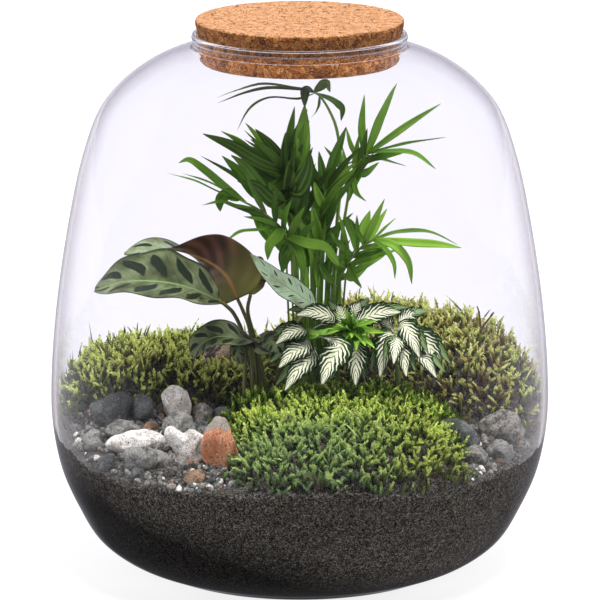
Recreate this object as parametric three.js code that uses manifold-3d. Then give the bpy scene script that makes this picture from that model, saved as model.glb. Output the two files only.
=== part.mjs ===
// A planted glass jar with a cork stopper: soil, moss mounds, stones, and three plants,
// a parlour palm, a prayer plant and a nerve plant.
// Millimetres, +Z up, the jar stands on z = 0 and its front faces -Y.
import * as THREE from "three";
import { mergeVertices } from "three/addons/utils/BufferGeometryUtils.js";
import Module from "manifold-3d";

const wasm = await Module();
wasm.setup();

const GAP = 0.35; // free space between two pieces that rest on each other
const WALL = 2.5; // thickness of the glass
const FLOOR = 6; // height of the inside of the jar's base
const JAR_SIDES = 30;
const LEAF = 0.7; // thickness of a leaf
const COLUMN = 0.562; // one column of the sketch grid the plants are drawn on
const ROW = 0.578; // one row of that grid
const SLOPE = 0.2414; // the sketch looks down a little: height lost for each mm of depth
const EYE = 149.2; // height of row 300 at the middle of the jar

// Each material's colour and roughness; only the glass is smooth and clear.
const finishes = {
  glass: ["#eceaf4", 0.03],
  cork: ["#d09a62", 0.85],
  soil: ["#3c3936", 0.95],
  moss_olive: ["#6f7a2b", 0.9],
  moss_bright: ["#6d8f2a", 0.9],
  stone_white: ["#d9d5cc", 0.75],
  stone_grey: ["#8d8f90", 0.75],
  stone_dark: ["#4b4d50", 0.65],
  stone_terracotta: ["#b0694a", 0.85],
  palm_leaf: ["#4f7a2e", 0.45],
  calathea_leaf: ["#7f9a6c", 0.5],
  calathea_stem: ["#5d6b33", 0.55],
  fittonia_leaf: ["#5f7f45", 0.5],
  twig: ["#4d3a28", 0.85],
};

const group = new THREE.Group();
const materials = {};
for (const [name, [color, roughness]] of Object.entries(finishes)) {
  materials[name] = new THREE.MeshStandardMaterial({ name, color, roughness, metalness: 0 });
}
materials.glass.transparent = true;
materials.glass.opacity = 0.3;

// A repeatable number from 0 to 1 for each n.
function chance(n) {
  const s = Math.sin(n * 12.9898 + 4.137) * 43758.5453;
  return s - Math.floor(s);
}

// A closed geometry as a solid.
function solid(geometry) {
  const bare = geometry.clone();
  bare.deleteAttribute("normal");
  bare.deleteAttribute("uv");
  const merged = mergeVertices(bare, 1e-4);
  return new wasm.Manifold(
    new wasm.Mesh({
      numProp: 3,
      vertProperties: merged.attributes.position.array,
      triVerts: new Uint32Array(merged.index.array),
    }),
  );
}

// Adds a solid to the part as one named piece, without the slivers that its cuts left.
function add(name, body, material) {
  const made = body.simplify(0.06).getMesh();
  const geometry = new THREE.BufferGeometry();
  geometry.setAttribute("position", new THREE.BufferAttribute(made.vertProperties, 3));
  geometry.setIndex(new THREE.BufferAttribute(made.triVerts, 1));
  geometry.computeVertexNormals();
  const mesh = new THREE.Mesh(geometry, materials[material]);
  mesh.name = name;
  group.add(mesh);
}

function geometryOf(points, faces) {
  const geometry = new THREE.BufferGeometry();
  geometry.setFromPoints(points);
  geometry.setIndex(faces.flat());
  return geometry;
}

// The largest body of a solid, without the crumbs that a cut leaves.
function largest(body) {
  const parts = body.decompose();
  parts.sort((a, b) => b.volume() - a.volume());
  return parts[0];
}

// A closed body between two grids of points, split alike on both faces.
function between(top, bottom) {
  const rows = top.length;
  const columns = top[0].length;
  const under = rows * columns;
  const id = (i, j) => i * columns + j;
  const faces = [];
  for (let i = 0; i + 1 < rows; i++) {
    for (let j = 0; j + 1 < columns; j++) {
      const [a, b, c, d] = [id(i, j), id(i, j + 1), id(i + 1, j + 1), id(i + 1, j)];
      faces.push([a, d, c], [a, c, b]);
      faces.push([a + under, c + under, d + under], [a + under, b + under, c + under]);
    }
  }
  const rim = [];
  for (let i = 0; i + 1 < rows; i++) {
    rim.push([id(i, 0), id(i + 1, 0)], [id(i + 1, columns - 1), id(i, columns - 1)]);
  }
  for (let j = 0; j + 1 < columns; j++) {
    rim.push([id(rows - 1, j), id(rows - 1, j + 1)], [id(0, j + 1), id(0, j)]);
  }
  for (const [p, q] of rim) {
    faces.push([q, p, p + under], [q, p + under, q + under]);
  }
  return solid(geometryOf([...top.flat(), ...bottom.flat()], faces));
}

// A point of the sketch grid, given as column, row and depth.
function at([column, row, y]) {
  const near = 1 + y / 2570;
  return new THREE.Vector3(
    (column - 300) * COLUMN * near,
    y,
    EYE + (300 - row) * ROW * near - SLOPE * y,
  );
}

function curve(points) {
  return new THREE.CatmullRomCurve3(points, false, "centripetal");
}

// A round stem along a curve, its radius running from the first to the last value.
function stem(path, first, last, steps, sides = 5) {
  const points = [];
  const faces = [];
  for (let i = 0; i <= steps; i++) {
    const u = i / steps;
    const centre = path.getPoint(u);
    const along = path.getTangent(u);
    const side = new THREE.Vector3().crossVectors(along, new THREE.Vector3(0.2, 0.95, 0.1)).normalize();
    const out = new THREE.Vector3().crossVectors(along, side);
    const radius = first + (last - first) * u;
    for (let k = 0; k < sides; k++) {
      const angle = (k / sides) * Math.PI * 2;
      points.push(
        centre
          .clone()
          .addScaledVector(side, radius * Math.cos(angle))
          .addScaledVector(out, radius * Math.sin(angle)),
      );
    }
  }
  const start = points.push(path.getPoint(0)) - 1;
  const end = points.push(path.getPoint(1)) - 1;
  for (let k = 0; k < sides; k++) {
    const next = (k + 1) % sides;
    for (let i = 0; i < steps; i++) {
      const [a, b] = [i * sides + k, i * sides + next];
      faces.push([a, b, b + sides], [a, b + sides, a + sides]);
    }
    faces.push([start, next, k], [end, steps * sides + k, steps * sides + next]);
  }
  return solid(geometryOf(points, faces));
}

// The straight foot of a stem, from below the top of the soil to above it.
function footing(x, y, under, over) {
  return [-under, 0, over].map((z) => new THREE.Vector3(x, y, soilTop(x, y) + z));
}

// Width of a blade along its length, from 0 to 1.
const outlines = {
  lance: (u) => Math.max(0.14, Math.sin(Math.PI * (0.05 + 0.93 * u) ** 0.8) ** 0.8),
  oval: (u) => Math.max(0.1, Math.sin(Math.PI * (0.03 + 0.95 * u) ** 0.9) ** 0.6),
  drop: (u) => Math.max(0.08, Math.sin(Math.PI * (0.02 + 0.97 * u) ** 0.6) ** 0.8),
  stalked: (u) => (u < 0.22 ? 0.1 : Math.max(0.1, Math.sin((Math.PI * (u - 0.16)) / 0.86) ** 0.65)),
};

// A leaf blade along points, folded on its midrib and waved at its edges.
// face is where the upper side looks at the base, and faceEnd at the tip.
function blade(points, width, spec) {
  const path = curve(points);
  const rows = spec.rows ?? points.length;
  const columns = spec.columns ?? (width < 7.6 ? 1 : 2);
  const fold = columns === 1 ? 0 : (spec.fold ?? 0.25);
  const wave = spec.wave ?? 0;
  const face = new THREE.Vector3(...(spec.face ?? [0, -0.7, 0.7]));
  const faceEnd = new THREE.Vector3(...(spec.faceEnd ?? face.toArray()));
  const outline = outlines[spec.outline ?? "lance"];
  const top = [];
  const bottom = [];
  for (let i = 0; i <= rows; i++) {
    const u = i / rows;
    const centre = path.getPoint(u);
    const along = path.getTangent(u);
    const look = face.clone().lerp(faceEnd, u);
    const side = new THREE.Vector3().crossVectors(look, along).normalize();
    const up = new THREE.Vector3().crossVectors(along, side).normalize();
    const half = Math.max(LEAF / 2, (width / 2) * outline(u));
    const upper = [];
    const lower = [];
    for (let j = 0; j <= columns; j++) {
      const v = (2 * j) / columns - 1;
      const ripple = wave * Math.sin((spec.waves ?? 3) * 2 * Math.PI * u + v) * v * v * outline(u);
      const point = centre
        .clone()
        .addScaledVector(side, half * v * Math.cos(fold))
        .addScaledVector(up, half * Math.abs(v) * Math.sin(fold) + ripple);
      upper.push(point.clone().addScaledVector(up, LEAF / 2));
      lower.push(point.addScaledVector(up, -LEAF / 2));
    }
    top.push(upper);
    bottom.push(lower);
  }
  return between(top, bottom);
}

// Glass jar.
const wallOutline = [
  [85.7, 0], [93, 3.2], [104.5, 8.6], [116.5, 18.6], [126, 35], [134.5, 55], [139.2, 79],
  [139.9, 102.4], [136.4, 147.7], [128.8, 196.9], [120.9, 232.4], [111.4, 258],
  [99, 273], [84.8, 283.6], [73, 289.4], [59, 293.8],
];

// The wall's outline moved in by a distance, from the inside of the floor up to the mouth.
function inner(distance) {
  const moved = [];
  wallOutline.forEach(([r, z], i) => {
    const before = wallOutline[Math.max(0, i - 1)];
    const after = wallOutline[Math.min(wallOutline.length - 1, i + 1)];
    const along = new THREE.Vector2(after[0] - before[0], after[1] - before[1]).normalize();
    const point = new THREE.Vector2(r - along.y * distance, z + along.x * distance);
    if (point.y > FLOOR + (distance - WALL) + 0.5) {
      moved.push(point);
    }
  });
  return moved;
}

const inside = inner(WALL);
const jarProfile = [
  new THREE.Vector2(0, 0),
  ...wallOutline.map(([r, z]) => new THREE.Vector2(r, z)),
  new THREE.Vector2(59.4, 295.2),
  new THREE.Vector2(59.9, 297.4),
  new THREE.Vector2(59.3, 299.4),
  new THREE.Vector2(58.2, 300),
  new THREE.Vector2(57.2, 299.6),
  new THREE.Vector2(56.9, 298.6),
  new THREE.Vector2(57.2, 291.6),
  ...inside.slice(0, -1).reverse(),
  new THREE.Vector2(92, FLOOR + 0.4),
  new THREE.Vector2(84, FLOOR),
  new THREE.Vector2(0, FLOOR),
];

function turned(profile, sides) {
  const geometry = new THREE.LatheGeometry(profile, sides);
  geometry.rotateX(Math.PI / 2);
  return solid(geometry);
}

add("glass_jar", turned(jarProfile, JAR_SIDES), "glass");

// Cork stopper, wedged in the mouth.
const corkProfile = [
  [0, 285], [53.1, 285], [54, 285.9], [56.2, 298.6], [57.9, 308.4], [57.2, 309.5], [0, 309.5],
].map(([r, z]) => new THREE.Vector2(r, z));
add("cork_stopper", turned(corkProfile, JAR_SIDES), "cork");

// The room inside the jar, a little smaller than the glass.
function room(spare) {
  const wall = inner(WALL + spare).filter((p) => p.y < 240);
  return turned(
    [
      new THREE.Vector2(0, FLOOR + GAP),
      new THREE.Vector2(84, FLOOR + GAP),
      ...wall,
      new THREE.Vector2(0, wall[wall.length - 1].y),
    ],
    JAR_SIDES,
  );
}

// Height of the soil: lower at the front left and front right, higher at the back left.
function soilTop(x, y) {
  const r = Math.hypot(x, y) / 134;
  const dip = 14 * r ** 4 * (Math.abs(x) / 134) * (0.5 - y / 268);
  const rise = 10 * Math.exp(-(((x + 105) / 55) ** 2) - ((y - 15) / 55) ** 2);
  return 86 + 0.07 * y - dip + rise + 0.9 * Math.sin(0.11 * x + 1) * Math.cos(0.13 * y);
}

// A block whose top follows height(x, y) and whose bottom is flat.
function ground(height, [x0, x1], [y0, y1], step, bottom) {
  const columns = Math.ceil((x1 - x0) / step);
  const rows = Math.ceil((y1 - y0) / step);
  const top = [];
  const under = [];
  for (let i = 0; i <= rows; i++) {
    const y = y1 + ((y0 - y1) * i) / rows;
    const upper = [];
    const lower = [];
    for (let j = 0; j <= columns; j++) {
      const x = x0 + ((x1 - x0) * j) / columns;
      upper.push(new THREE.Vector3(x, y, height(x, y)));
      lower.push(new THREE.Vector3(x, y, bottom));
    }
    top.push(upper);
    under.push(lower);
  }
  return between(top, under);
}

// Moss mounds: centre, half lengths, turn in radians, height and the height of the tufts.
const mounds = {
  moss_left: { x: -82, y: 50, a: 72, b: 58, turn: 0.1, high: 10, tuft: 5, colour: "moss_olive" },
  moss_front: { x: 24, y: -63, a: 62, b: 72, turn: 0.08, high: 16, tuft: 4.5, colour: "moss_bright" },
  moss_right: { x: 74, y: 64, a: 100, b: 60, turn: -0.5, high: 26, tuft: 5, colour: "moss_olive" },
};

function moundHeight(mound, x, y) {
  const [c, s] = [Math.cos(mound.turn), Math.sin(mound.turn)];
  const u = ((x - mound.x) * c + (y - mound.y) * s) / mound.a;
  const v = (-(x - mound.x) * s + (y - mound.y) * c) / mound.b;
  const d4 = u ** 4 + v ** 4;
  return mound.high * (1 - d4) + 1.6 * Math.sin(0.16 * x + 0.4 * mound.x) * Math.cos(0.15 * y);
}

// Stones: middle x and y, half sizes along x, y and z, turn, tilt, lift out of the soil, notch, colour.
const stones = [
  [-105, -27, 11, 9, 11, 0.3, 0.1, 0.4, 0, "stone_dark"],
  [-87.5, -27, 6, 6.5, 8.5, 0.8, 0.2, 0.4, 0, "stone_dark"],
  [-69, -23, 8.5, 7, 10, 0.2, -0.1, 0.4, 0, "stone_white"],
  [-54.5, -24, 5.8, 5.5, 6.5, 0.6, 0.1, 0.4, 0, "stone_grey"],
  [-99, -46, 8.5, 6.5, 5.5, 0.3, 0.1, 0.5, 0, "stone_grey"],
  [-83.5, -42.5, 5, 4.5, 4, 1.0, 0.1, 0.4, 0, "stone_terracotta"],
  [-90, -62, 13.5, 6, 7, 0.25, 0.15, 0.45, 0, "stone_white"],
  [-67, -47, 10, 8.5, 7.5, 0.5, 0.1, 0.4, 0, "stone_grey"],
  [-62, -74, 10, 6.5, 11, -0.1, -0.35, 0.5, 0.5, "stone_white"],
  [-42.5, -90, 9.5, 8.5, 17, 0.2, 0.05, 0.45, 0, "stone_terracotta"],
  [-104, -75, 5, 4.5, 4.5, 0.7, 0.2, 0.4, 0, "stone_dark"],
  [-84, -82, 10.5, 7, 7.5, 0.1, 0.1, 0.4, 0, "stone_grey"],
  [-68, -94, 6.3, 6.3, 7.2, 0.9, 0.1, 0.4, 0, "stone_dark"],
  [-114, -52, 5.5, 5.5, 5.5, 0.4, 0.1, 0.4, 0, "stone_grey"],
  [-88, -95, 4, 3.6, 4, 0.9, 0.1, 0.4, 0, "stone_grey"],
  [-56, -109, 6, 4.5, 4, 0.2, 0.1, 0.4, 0, "stone_terracotta"],
  [-42, -24, 6, 5, 5, 0.3, 0, 0.4, 0, "stone_dark"],
  [-43, 38, 12, 9, 13, 0.35, 0.1, 1, 0, "stone_white"],
  [87, -50, 12.5, 7.5, 8.5, -0.5, 0.1, 0.45, 0, "stone_dark"],
  [112, -34, 12, 10, 10, 0.2, 0.1, 0.5, 0, "stone_grey"],
  [110, -61, 6.5, 5.5, 6, 0.2, 0.1, 0.4, 0, "stone_white"],
  [97, -74, 7, 5.5, 5.5, 0.9, 0.1, 0.4, 0, "stone_grey"],
];

// One stone as a dented and stretched ball.
function stone(row, index) {
  const [x, y, a, b, c, turn, tilt, lift, notch] = row;
  const ball = new THREE.IcosahedronGeometry(1, c > 14 ? 2 : 1);
  const points = ball.attributes.position;
  const p = new THREE.Vector3();
  const place = new THREE.Matrix4()
    .makeRotationFromEuler(new THREE.Euler(tilt, tilt * 0.6, turn))
    .setPosition(x, y, soilTop(x, y) + c * lift);
  for (let i = 0; i < points.count; i++) {
    p.fromBufferAttribute(points, i);
    const dent =
      0.09 * Math.sin(3.1 * p.x + index) + 0.08 * Math.sin(2.7 * p.y + 2.3 * index) * Math.cos(3.3 * p.z);
    p.multiplyScalar(1 + dent);
    const cleft = notch * Math.exp(-((p.x / 0.32) ** 2)) * Math.max(0, p.z);
    p.z -= cleft;
    p.x *= 1 + notch * 0.7 * p.z;
    p.set(p.x * a, p.y * b, p.z * c).applyMatrix4(place);
    points.setXYZ(i, p.x, p.y, p.z);
  }
  return solid(ball);
}

// The pocket that a stone sits in: an upright hole just wider than it, down to its lowest point.
function pocket([x, y, a, b, c, turn, tilt], body) {
  const low = body.boundingBox().min[2] - GAP;
  const hole = new THREE.CylinderGeometry(1, 1, 50, 8).rotateX(Math.PI / 2);
  hole.scale(1.15 * a + GAP, 1.15 * b + 0.3 * Math.abs(tilt) * c + GAP, 1).rotateZ(turn);
  return solid(hole.translate(x, y, low + 25));
}

// Palm: each frond has a stem out of the soil and leaflets that start on it.
// A leaflet is its place on the stem from 0 to 1, its width, its points, and where it looks.
const viewer = { face: [0, -0.85, 0.5] };
const upward = { face: [0, -0.35, 0.95] };
const fronds = {
  palm_frond_tall: {
    root: [17, 33],
    stem: [[336, 240, 30], [341, 170, 26], [337, 132, 24], [330, 113, 24], [321, 99, 22], [313, 92, 18]],
    leaflets: [
      [1, 3, [[300, 90, 16], [260, 86, 12], [217, 100, 10]], upward],
      [0.99, 4.5, [[298, 91, 8], [262, 91, 2], [219, 105, -4]], upward],
      [0.93, 2.6, [[300, 101, 12], [270, 100, 2], [251, 110, -3], [238, 132, -6]], upward],
      [0.99, 10, [[307, 100, 8], [304, 129, 5], [307, 152, 4]], viewer],
      [0.96, 6, [[321, 88, 26], [326, 83, 30], [330, 93, 32]], viewer],
      [0.9, 6, [[337, 104, 34], [343, 112, 36], [341, 128, 38]], viewer],
      [0.83, 2, [[322, 114, 30], [311, 119, 32]], upward],
    ],
  },
  palm_frond_right_upper: {
    root: [25, 39],
    stem: [[340, 262, 38], [347, 205, 37], [355, 168, 37], [368, 154, 37]],
    leaflets: [
      [0.93, 5, [[357, 130, 42], [364, 96, 44]], viewer],
      [0.96, 5.5, [[379, 118, 40], [396, 84, 40]], viewer],
      [1, 4.5, [[405, 126, 30], [440, 105, 24]], viewer],
      [1, 3.4, [[402, 143, 36], [446, 138, 34]], upward],
      [0.97, 6, [[390, 153, 28], [415, 156, 18], [435, 170, 10]], upward],
      [0.94, 4, [[382, 161, 46], [406, 167, 50]], upward],
      [0.86, 3, [[338, 167, 50], [319, 182, 56]], upward],
      [0.82, 3.4, [[348, 150, 50], [346, 128, 54]], viewer],
      [0.7, 5.5, [[358, 190, 46], [379, 163, 52]], viewer],
      [0.62, 3.6, [[352, 206, 28], [366, 202, 20]], upward],
      [0.55, 4.4, [[330, 195, 46], [322, 176, 52]], viewer],
    ],
  },
  palm_frond_right_lower: {
    root: [22, 22],
    stem: [[333, 300, 18], [345, 268, 14], [362, 247, 8], [374, 240, 4]],
    leaflets: [
      [1, 5.5, [[410, 243, -2], [440, 245, -8], [461, 248, -12]], viewer],
      [0.97, 4.6, [[398, 233, 14], [430, 233, 22], [458, 245, 26]], upward],
      [0.72, 7.5, [[360, 232, 20], [370, 211, 26]], viewer],
      [0.85, 4.4, [[374, 228, 16], [387, 209, 20]], viewer],
      [0.95, 1.8, [[384, 228, 0], [396, 218, -4]], viewer],
      [0.98, 3.4, [[386, 250, -6], [394, 264, -9], [395, 279, -10]], viewer],
      [1, 5.5, [[394, 246, -2], [408, 262, -1], [412, 284, 2]], viewer],
      [0.55, 3, [[358, 254, -2], [377, 250, -8]], upward],
      [0.78, 4.6, [[348, 222, 6], [352, 236, 0], [356, 255, -4]], viewer],
      [0.25, 5.5, [[348, 290, 26], [371, 263, 32]], viewer],
      [0.15, 6, [[326, 282, 12], [318, 262, 8]], viewer],
      [0.35, 6, [[330, 262, 4], [322, 242, -2]], viewer],
      [0.5, 4.4, [[336, 246, 8], [330, 232, 4]], viewer],
      [0.4, 4.4, [[352, 280, 4], [362, 288, -2]], viewer],
    ],
  },
  palm_frond_left_upper: {
    root: [8, 30],
    stem: [[304, 260, 22], [299, 220, 18], [291, 186, 14], [284, 164, 12]],
    leaflets: [
      [0.86, 8.5, [[262, 165, 6], [232, 147, 0], [204, 135, -4]], viewer],
      [0.92, 4.2, [[262, 160, 20], [240, 142, 24], [222, 132, 26]], viewer],
      [0.96, 2.6, [[266, 152, 28], [245, 131, 34]], viewer],
      [0.95, 2.6, [[264, 152, 8], [245, 140, 10]], viewer],
      [1, 7, [[274, 148, 14], [256, 130, 14]], viewer],
      [0.98, 7, [[288, 148, 18], [291, 128, 20]], viewer],
      [0.9, 8, [[300, 160, 20], [314, 166, 24]], viewer],
      [0.7, 9, [[262, 196, 8], [240, 174, 0], [223, 157, -8]], viewer],
      [0.74, 3.4, [[262, 194, 20], [232, 174, 26], [202, 157, 30]], viewer],
      [0.6, 13, [[293, 190, 6], [296, 165, 8], [298, 140, 12]], viewer],
      [0.5, 12, [[296, 214, 8], [304, 186, 4], [312, 166, 4]], viewer],
      [0.42, 10, [[284, 214, 8], [276, 196, 4], [268, 182, 0]], viewer],
      [0.56, 10, [[288, 190, 26], [284, 170, 28], [284, 152, 30]], viewer],
      [0.62, 11, [[300, 190, -2], [308, 172, -4], [310, 152, -2]], viewer],
      [0.35, 9, [[296, 226, 28], [290, 200, 34], [286, 180, 36]], viewer],
      [0.3, 8, [[294, 240, 14], [284, 256, 12], [283, 274, 10]], viewer],
      [0.2, 8, [[310, 262, 30], [316, 240, 34], [320, 220, 36]], viewer],
      [0.12, 7, [[298, 262, 30], [292, 244, 34], [290, 228, 36]], viewer],
      [0.25, 7, [[311, 226, 30], [318, 204, 30], [322, 186, 28]], viewer],
      [0.8, 8, [[266, 190, 0], [246, 168, -8], [232, 156, -14]], viewer],
      [0.66, 9, [[276, 204, 2], [256, 188, -6], [238, 182, -12]], viewer],
      [0.28, 8, [[288, 250, 24], [272, 232, 28], [262, 220, 30]], viewer],
    ],
  },
  palm_frond_middle: {
    root: [16, 24],
    stem: [[320, 290, 22], [319, 250, 20], [321, 215, 20], [327, 182, 20]],
    leaflets: [
      [1, 6.5, [[336, 154, 16], [346, 128, 14]], viewer],
      [0.9, 5.5, [[322, 170, 16], [319, 152, 12]], viewer],
      [0.75, 6, [[318, 200, 14], [314, 182, 10]], viewer],
      [0.7, 5.5, [[334, 204, 14], [340, 186, 10]], viewer],
      [0.55, 7, [[330, 222, 12], [337, 200, 6]], viewer],
      [0.5, 5, [[334, 234, 20], [346, 226, 20]], upward],
      [0.4, 7, [[315, 228, 12], [312, 206, 8]], viewer],
      [0.35, 7, [[330, 246, 12], [340, 222, 8]], viewer],
      [0.2, 6, [[312, 262, 14], [308, 240, 8]], viewer],
      [0.15, 6, [[330, 272, 20], [338, 248, 20]], viewer],
    ],
  },
  palm_frond_left_lower: {
    root: [1, 18],
    stem: [[296, 290, 12], [293, 256, 4], [284, 232, -2], [262, 212, -8], [240, 200, -12]],
    leaflets: [
      [0.93, 5, [[226, 188, -14], [204, 170, -14], [190, 161, -12], [180, 164, -10]], viewer],
      [1, 2.4, [[222, 194, -20], [196, 182, -24], [168, 174, -26]], upward],
      [0.98, 2.2, [[224, 190, -6], [204, 181, 0], [183, 174, 4]], upward],
      [0.8, 4.4, [[240, 208, -18], [222, 203, -22], [203, 206, -24]], upward],
      [1, 8, [[228, 196, -15], [221, 202, -18], [221, 212, -20]], viewer],
      [0.6, 4, [[262, 230, -8], [240, 233, -12], [225, 243, -14]], upward],
      [0.55, 7.5, [[278, 236, -12], [270, 246, -18], [268, 260, -20]], viewer],
      [0.5, 5, [[266, 226, 6], [250, 214, 10]], viewer],
      [0.4, 9, [[276, 240, 4], [262, 226, 10], [252, 206, 16]], viewer],
      [0.42, 7, [[296, 246, -8], [302, 262, -16], [304, 281, -18]], viewer],
      [0.3, 6.5, [[284, 256, -2], [282, 274, -6]], viewer],
      [0.45, 7, [[308, 244, -12], [326, 248, -14], [341, 267, -14]], viewer],
    ],
  },
};

const palms = {};
const sockets = []; // the stems' ends in the soil, as bodies that cut their holes
for (const [name, frond] of Object.entries(fronds)) {
  const [x, y] = frond.root;
  const foot = footing(x, y, 16, 8);
  const path = curve([...foot, ...frond.stem.map(at)]);
  const upper = curve(frond.stem.map(at));
  const bodies = [stem(path, 1.6, 0.8, 8, 4)];
  for (const [place, width, points, look] of frond.leaflets) {
    bodies.push(blade([upper.getPoint(place), ...points.map(at)], width, look));
  }
  palms[name] = wasm.Manifold.union(bodies);
  sockets.push([x, y, 1.6]);
}

// Prayer plant: a sheath stem, and leaves that each stand on a petiole of their own.
const calathea = {
  calathea_leaf_front: {
    root: [-31, -8],
    petiole: [[244, 338, -4], [235, 315, -8], [227, 306, -16], [219, 300, -25]],
    blade: [[190, 289, -30], [160, 282, -32], [126, 281, -30], [96, 290, -24]],
    width: 38,
    spec: { face: [0.1, -0.5, 0.86], fold: 0.34, wave: 1.2, rows: 12, columns: 4, outline: "oval" },
  },
  calathea_leaf_back: {
    root: [-26, -2],
    petiole: [[250, 330, -5], [243, 310, -8], [238, 299, -10]],
    blade: [[226, 274, -8], [206, 256, -4], [182, 248, 0], [152, 249, 4], [125, 257, 4]],
    width: 38,
    spec: {
      face: [0.1, 0.85, 0.3], faceEnd: [0, -0.6, 0.8], fold: 0.1, wave: 1, rows: 12, columns: 4,
      outline: "drop",
    },
  },
  calathea_leaf_dark: {
    root: [-19, 0],
    petiole: [[254, 336, 1], [248, 310, -2], [251, 294, -6]],
    blade: [[254, 280, -4], [258, 268, 0], [262, 257, 4]],
    width: 16,
    spec: { face: [-0.2, 0.9, 0.2], fold: 0.1, wave: 0.8, rows: 8, columns: 4, outline: "oval" },
  },
  calathea_leaf_right: {
    root: [-13, -8],
    petiole: [[284, 345, -16], [302, 318, -18], [314, 306, -20]],
    blade: [[298, 294, -24], [274, 278, -28], [251, 254, -30]],
    width: 15,
    spec: { face: [0.3, -0.8, 0.5], fold: 0.15, wave: 0.8, rows: 10, columns: 4, outline: "lance" },
  },
};
const sheath = {
  path: [[255, 370, -14], [251, 340, -15]],
  root: [-24, -13],
  leaves: [
    [[[239, 338, -22], [217, 337, -26], [202, 344, -30], [193, 358, -34]], 20,
      { face: [-0.2, -0.6, 0.75], fold: 0.35, rows: 8, columns: 2, outline: "oval", wave: 0.6 }],
    [[[242, 342, -20], [238, 352, -22], [243, 364, -22]], 11,
      { face: [0.3, -0.8, 0.4], fold: 0.2, rows: 5, columns: 2, outline: "oval" }],
    [[[256, 339, -22], [260, 341, -24], [270, 332, -24]], 4,
      { face: [0, -0.6, 0.8], rows: 5, columns: 2, outline: "oval" }],
    [[[262, 346, -24], [272, 342, -26], [276, 350, -28], [274, 362, -28]], 13,
      { face: [0.2, -0.8, 0.5], fold: 0.2, rows: 6, columns: 2, outline: "oval" }],
  ],
};

const striped = {};
for (const [name, leaf] of Object.entries(calathea)) {
  const [x, y] = leaf.root;
  const foot = footing(x, y, 14, 10);
  const petiole = curve([...foot, ...leaf.petiole.map(at)]);
  const last = leaf.petiole[leaf.petiole.length - 1];
  striped[name] = wasm.Manifold.union([
    stem(petiole, 1.5, 1.1, 9),
    blade([last, ...leaf.blade].map(at), leaf.width, leaf.spec),
  ]);
  sockets.push([x, y, 1.5]);
}
{
  const [x, y] = sheath.root;
  const foot = footing(x, y, 14, 6);
  const path = curve([...foot, ...sheath.path.map(at)]);
  const bodies = [stem(path, 4, 2.6, 6, 8)];
  for (const [points, width, spec] of sheath.leaves) {
    bodies.push(blade([at(sheath.path[1]), ...points.map(at)], width, spec));
  }
  striped.calathea_sheath = wasm.Manifold.union(bodies);
  sockets.push([x, y, 4]);
}

// Nerve plant: stems with small broad leaves.
// A leaf is its base, its tip, its width and how far it bows up.
const bush = {
  fittonia_left: {
    root: [4, -8],
    top: [[300, 345, -16], [308, 330, -18]],
    leaves: [
      [[330, 318, -20], [297, 315, -32], 13, 2],
      [[304, 330, -22], [276, 344, -34], 12, 2],
      [[306, 346, -26], [279, 368, -40], 14, 2],
      [[312, 356, -30], [285, 391, -44], 14, 2],
      [[340, 346, -32], [322, 385, -46], 18, 2],
      [[318, 338, -28], [330, 334, -46], 10, 3],
    ],
  },
  fittonia_middle: {
    root: [30, -4],
    top: [[350, 342, -6], [350, 326, -8]],
    leaves: [
      [[344, 320, -6], [338, 306, 2], 12, 1],
      [[352, 318, -4], [360, 303, 6], 12, 1],
      [[362, 320, -8], [401, 312, -8], 14, 2],
      [[352, 326, -14], [344, 314, -26], 9, 2],
      [[352, 330, -14], [352, 344, -30], 10, 3],
      [[360, 332, -12], [376, 336, -26], 10, 3],
      [[356, 348, -20], [356, 386, -34], 15, 2],
      [[344, 326, -10], [326, 340, -22], 9, 2],
    ],
  },
  fittonia_right: {
    root: [56, -6],
    top: [[396, 345, -10], [396, 332, -12]],
    leaves: [
      [[390, 336, -16], [380, 377, -34], 14, 2],
      [[400, 344, -18], [407, 377, -36], 12, 2],
      [[404, 326, -12], [420, 358, -28], 13, 2],
      [[418, 334, -6], [443, 370, -18], 14, 2],
      [[416, 352, -10], [437, 378, -34], 11, 2],
      [[388, 324, -6], [374, 308, 8], 11, 1],
      [[404, 318, -2], [420, 316, 8], 11, 1],
      [[398, 340, -20], [394, 364, -44], 11, 2],
    ],
  },
};

const nerved = {};
for (const [name, shoot] of Object.entries(bush)) {
  const [x, y] = shoot.root;
  const foot = footing(x, y, 12, 12);
  const path = curve([...foot, ...shoot.top.map(at)]);
  const bodies = [stem(path, 1.5, 1.2, 4)];
  for (const [from, to, width, bow] of shoot.leaves) {
    const [start, tip] = [at(from), at(to)];
    const middle = start.clone().lerp(tip, 0.5).add(new THREE.Vector3(0, 0, bow));
    bodies.push(
      blade([path.getPoint(0.96), start, middle, tip], width, {
        face: [0, -0.75, 0.65], fold: 0.15, rows: 5, columns: 2, outline: "stalked", wave: 0.5, waves: 2,
      }),
    );
  }
  nerved[name] = wasm.Manifold.union(bodies);
  sockets.push([x, y, 1.5]);
}

// Dry forked twig in the right mound.
const twigPath = curve([[470, 352, 40], [482, 330, 42], [495, 312, 44]].map(at));
const twigFork = curve([twigPath.getPoint(0.5), at([480, 312, 46]), at([478, 306, 48])]);
const twig = wasm.Manifold.union([stem(twigPath, 1.1, 0.7, 4), stem(twigFork, 0.8, 0.6, 3)]);
const twigHole = stem(twigPath, 1.2 + GAP, 0.8 + GAP, 4).add(stem(twigFork, 1 + GAP, 0.7 + GAP, 3));

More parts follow.
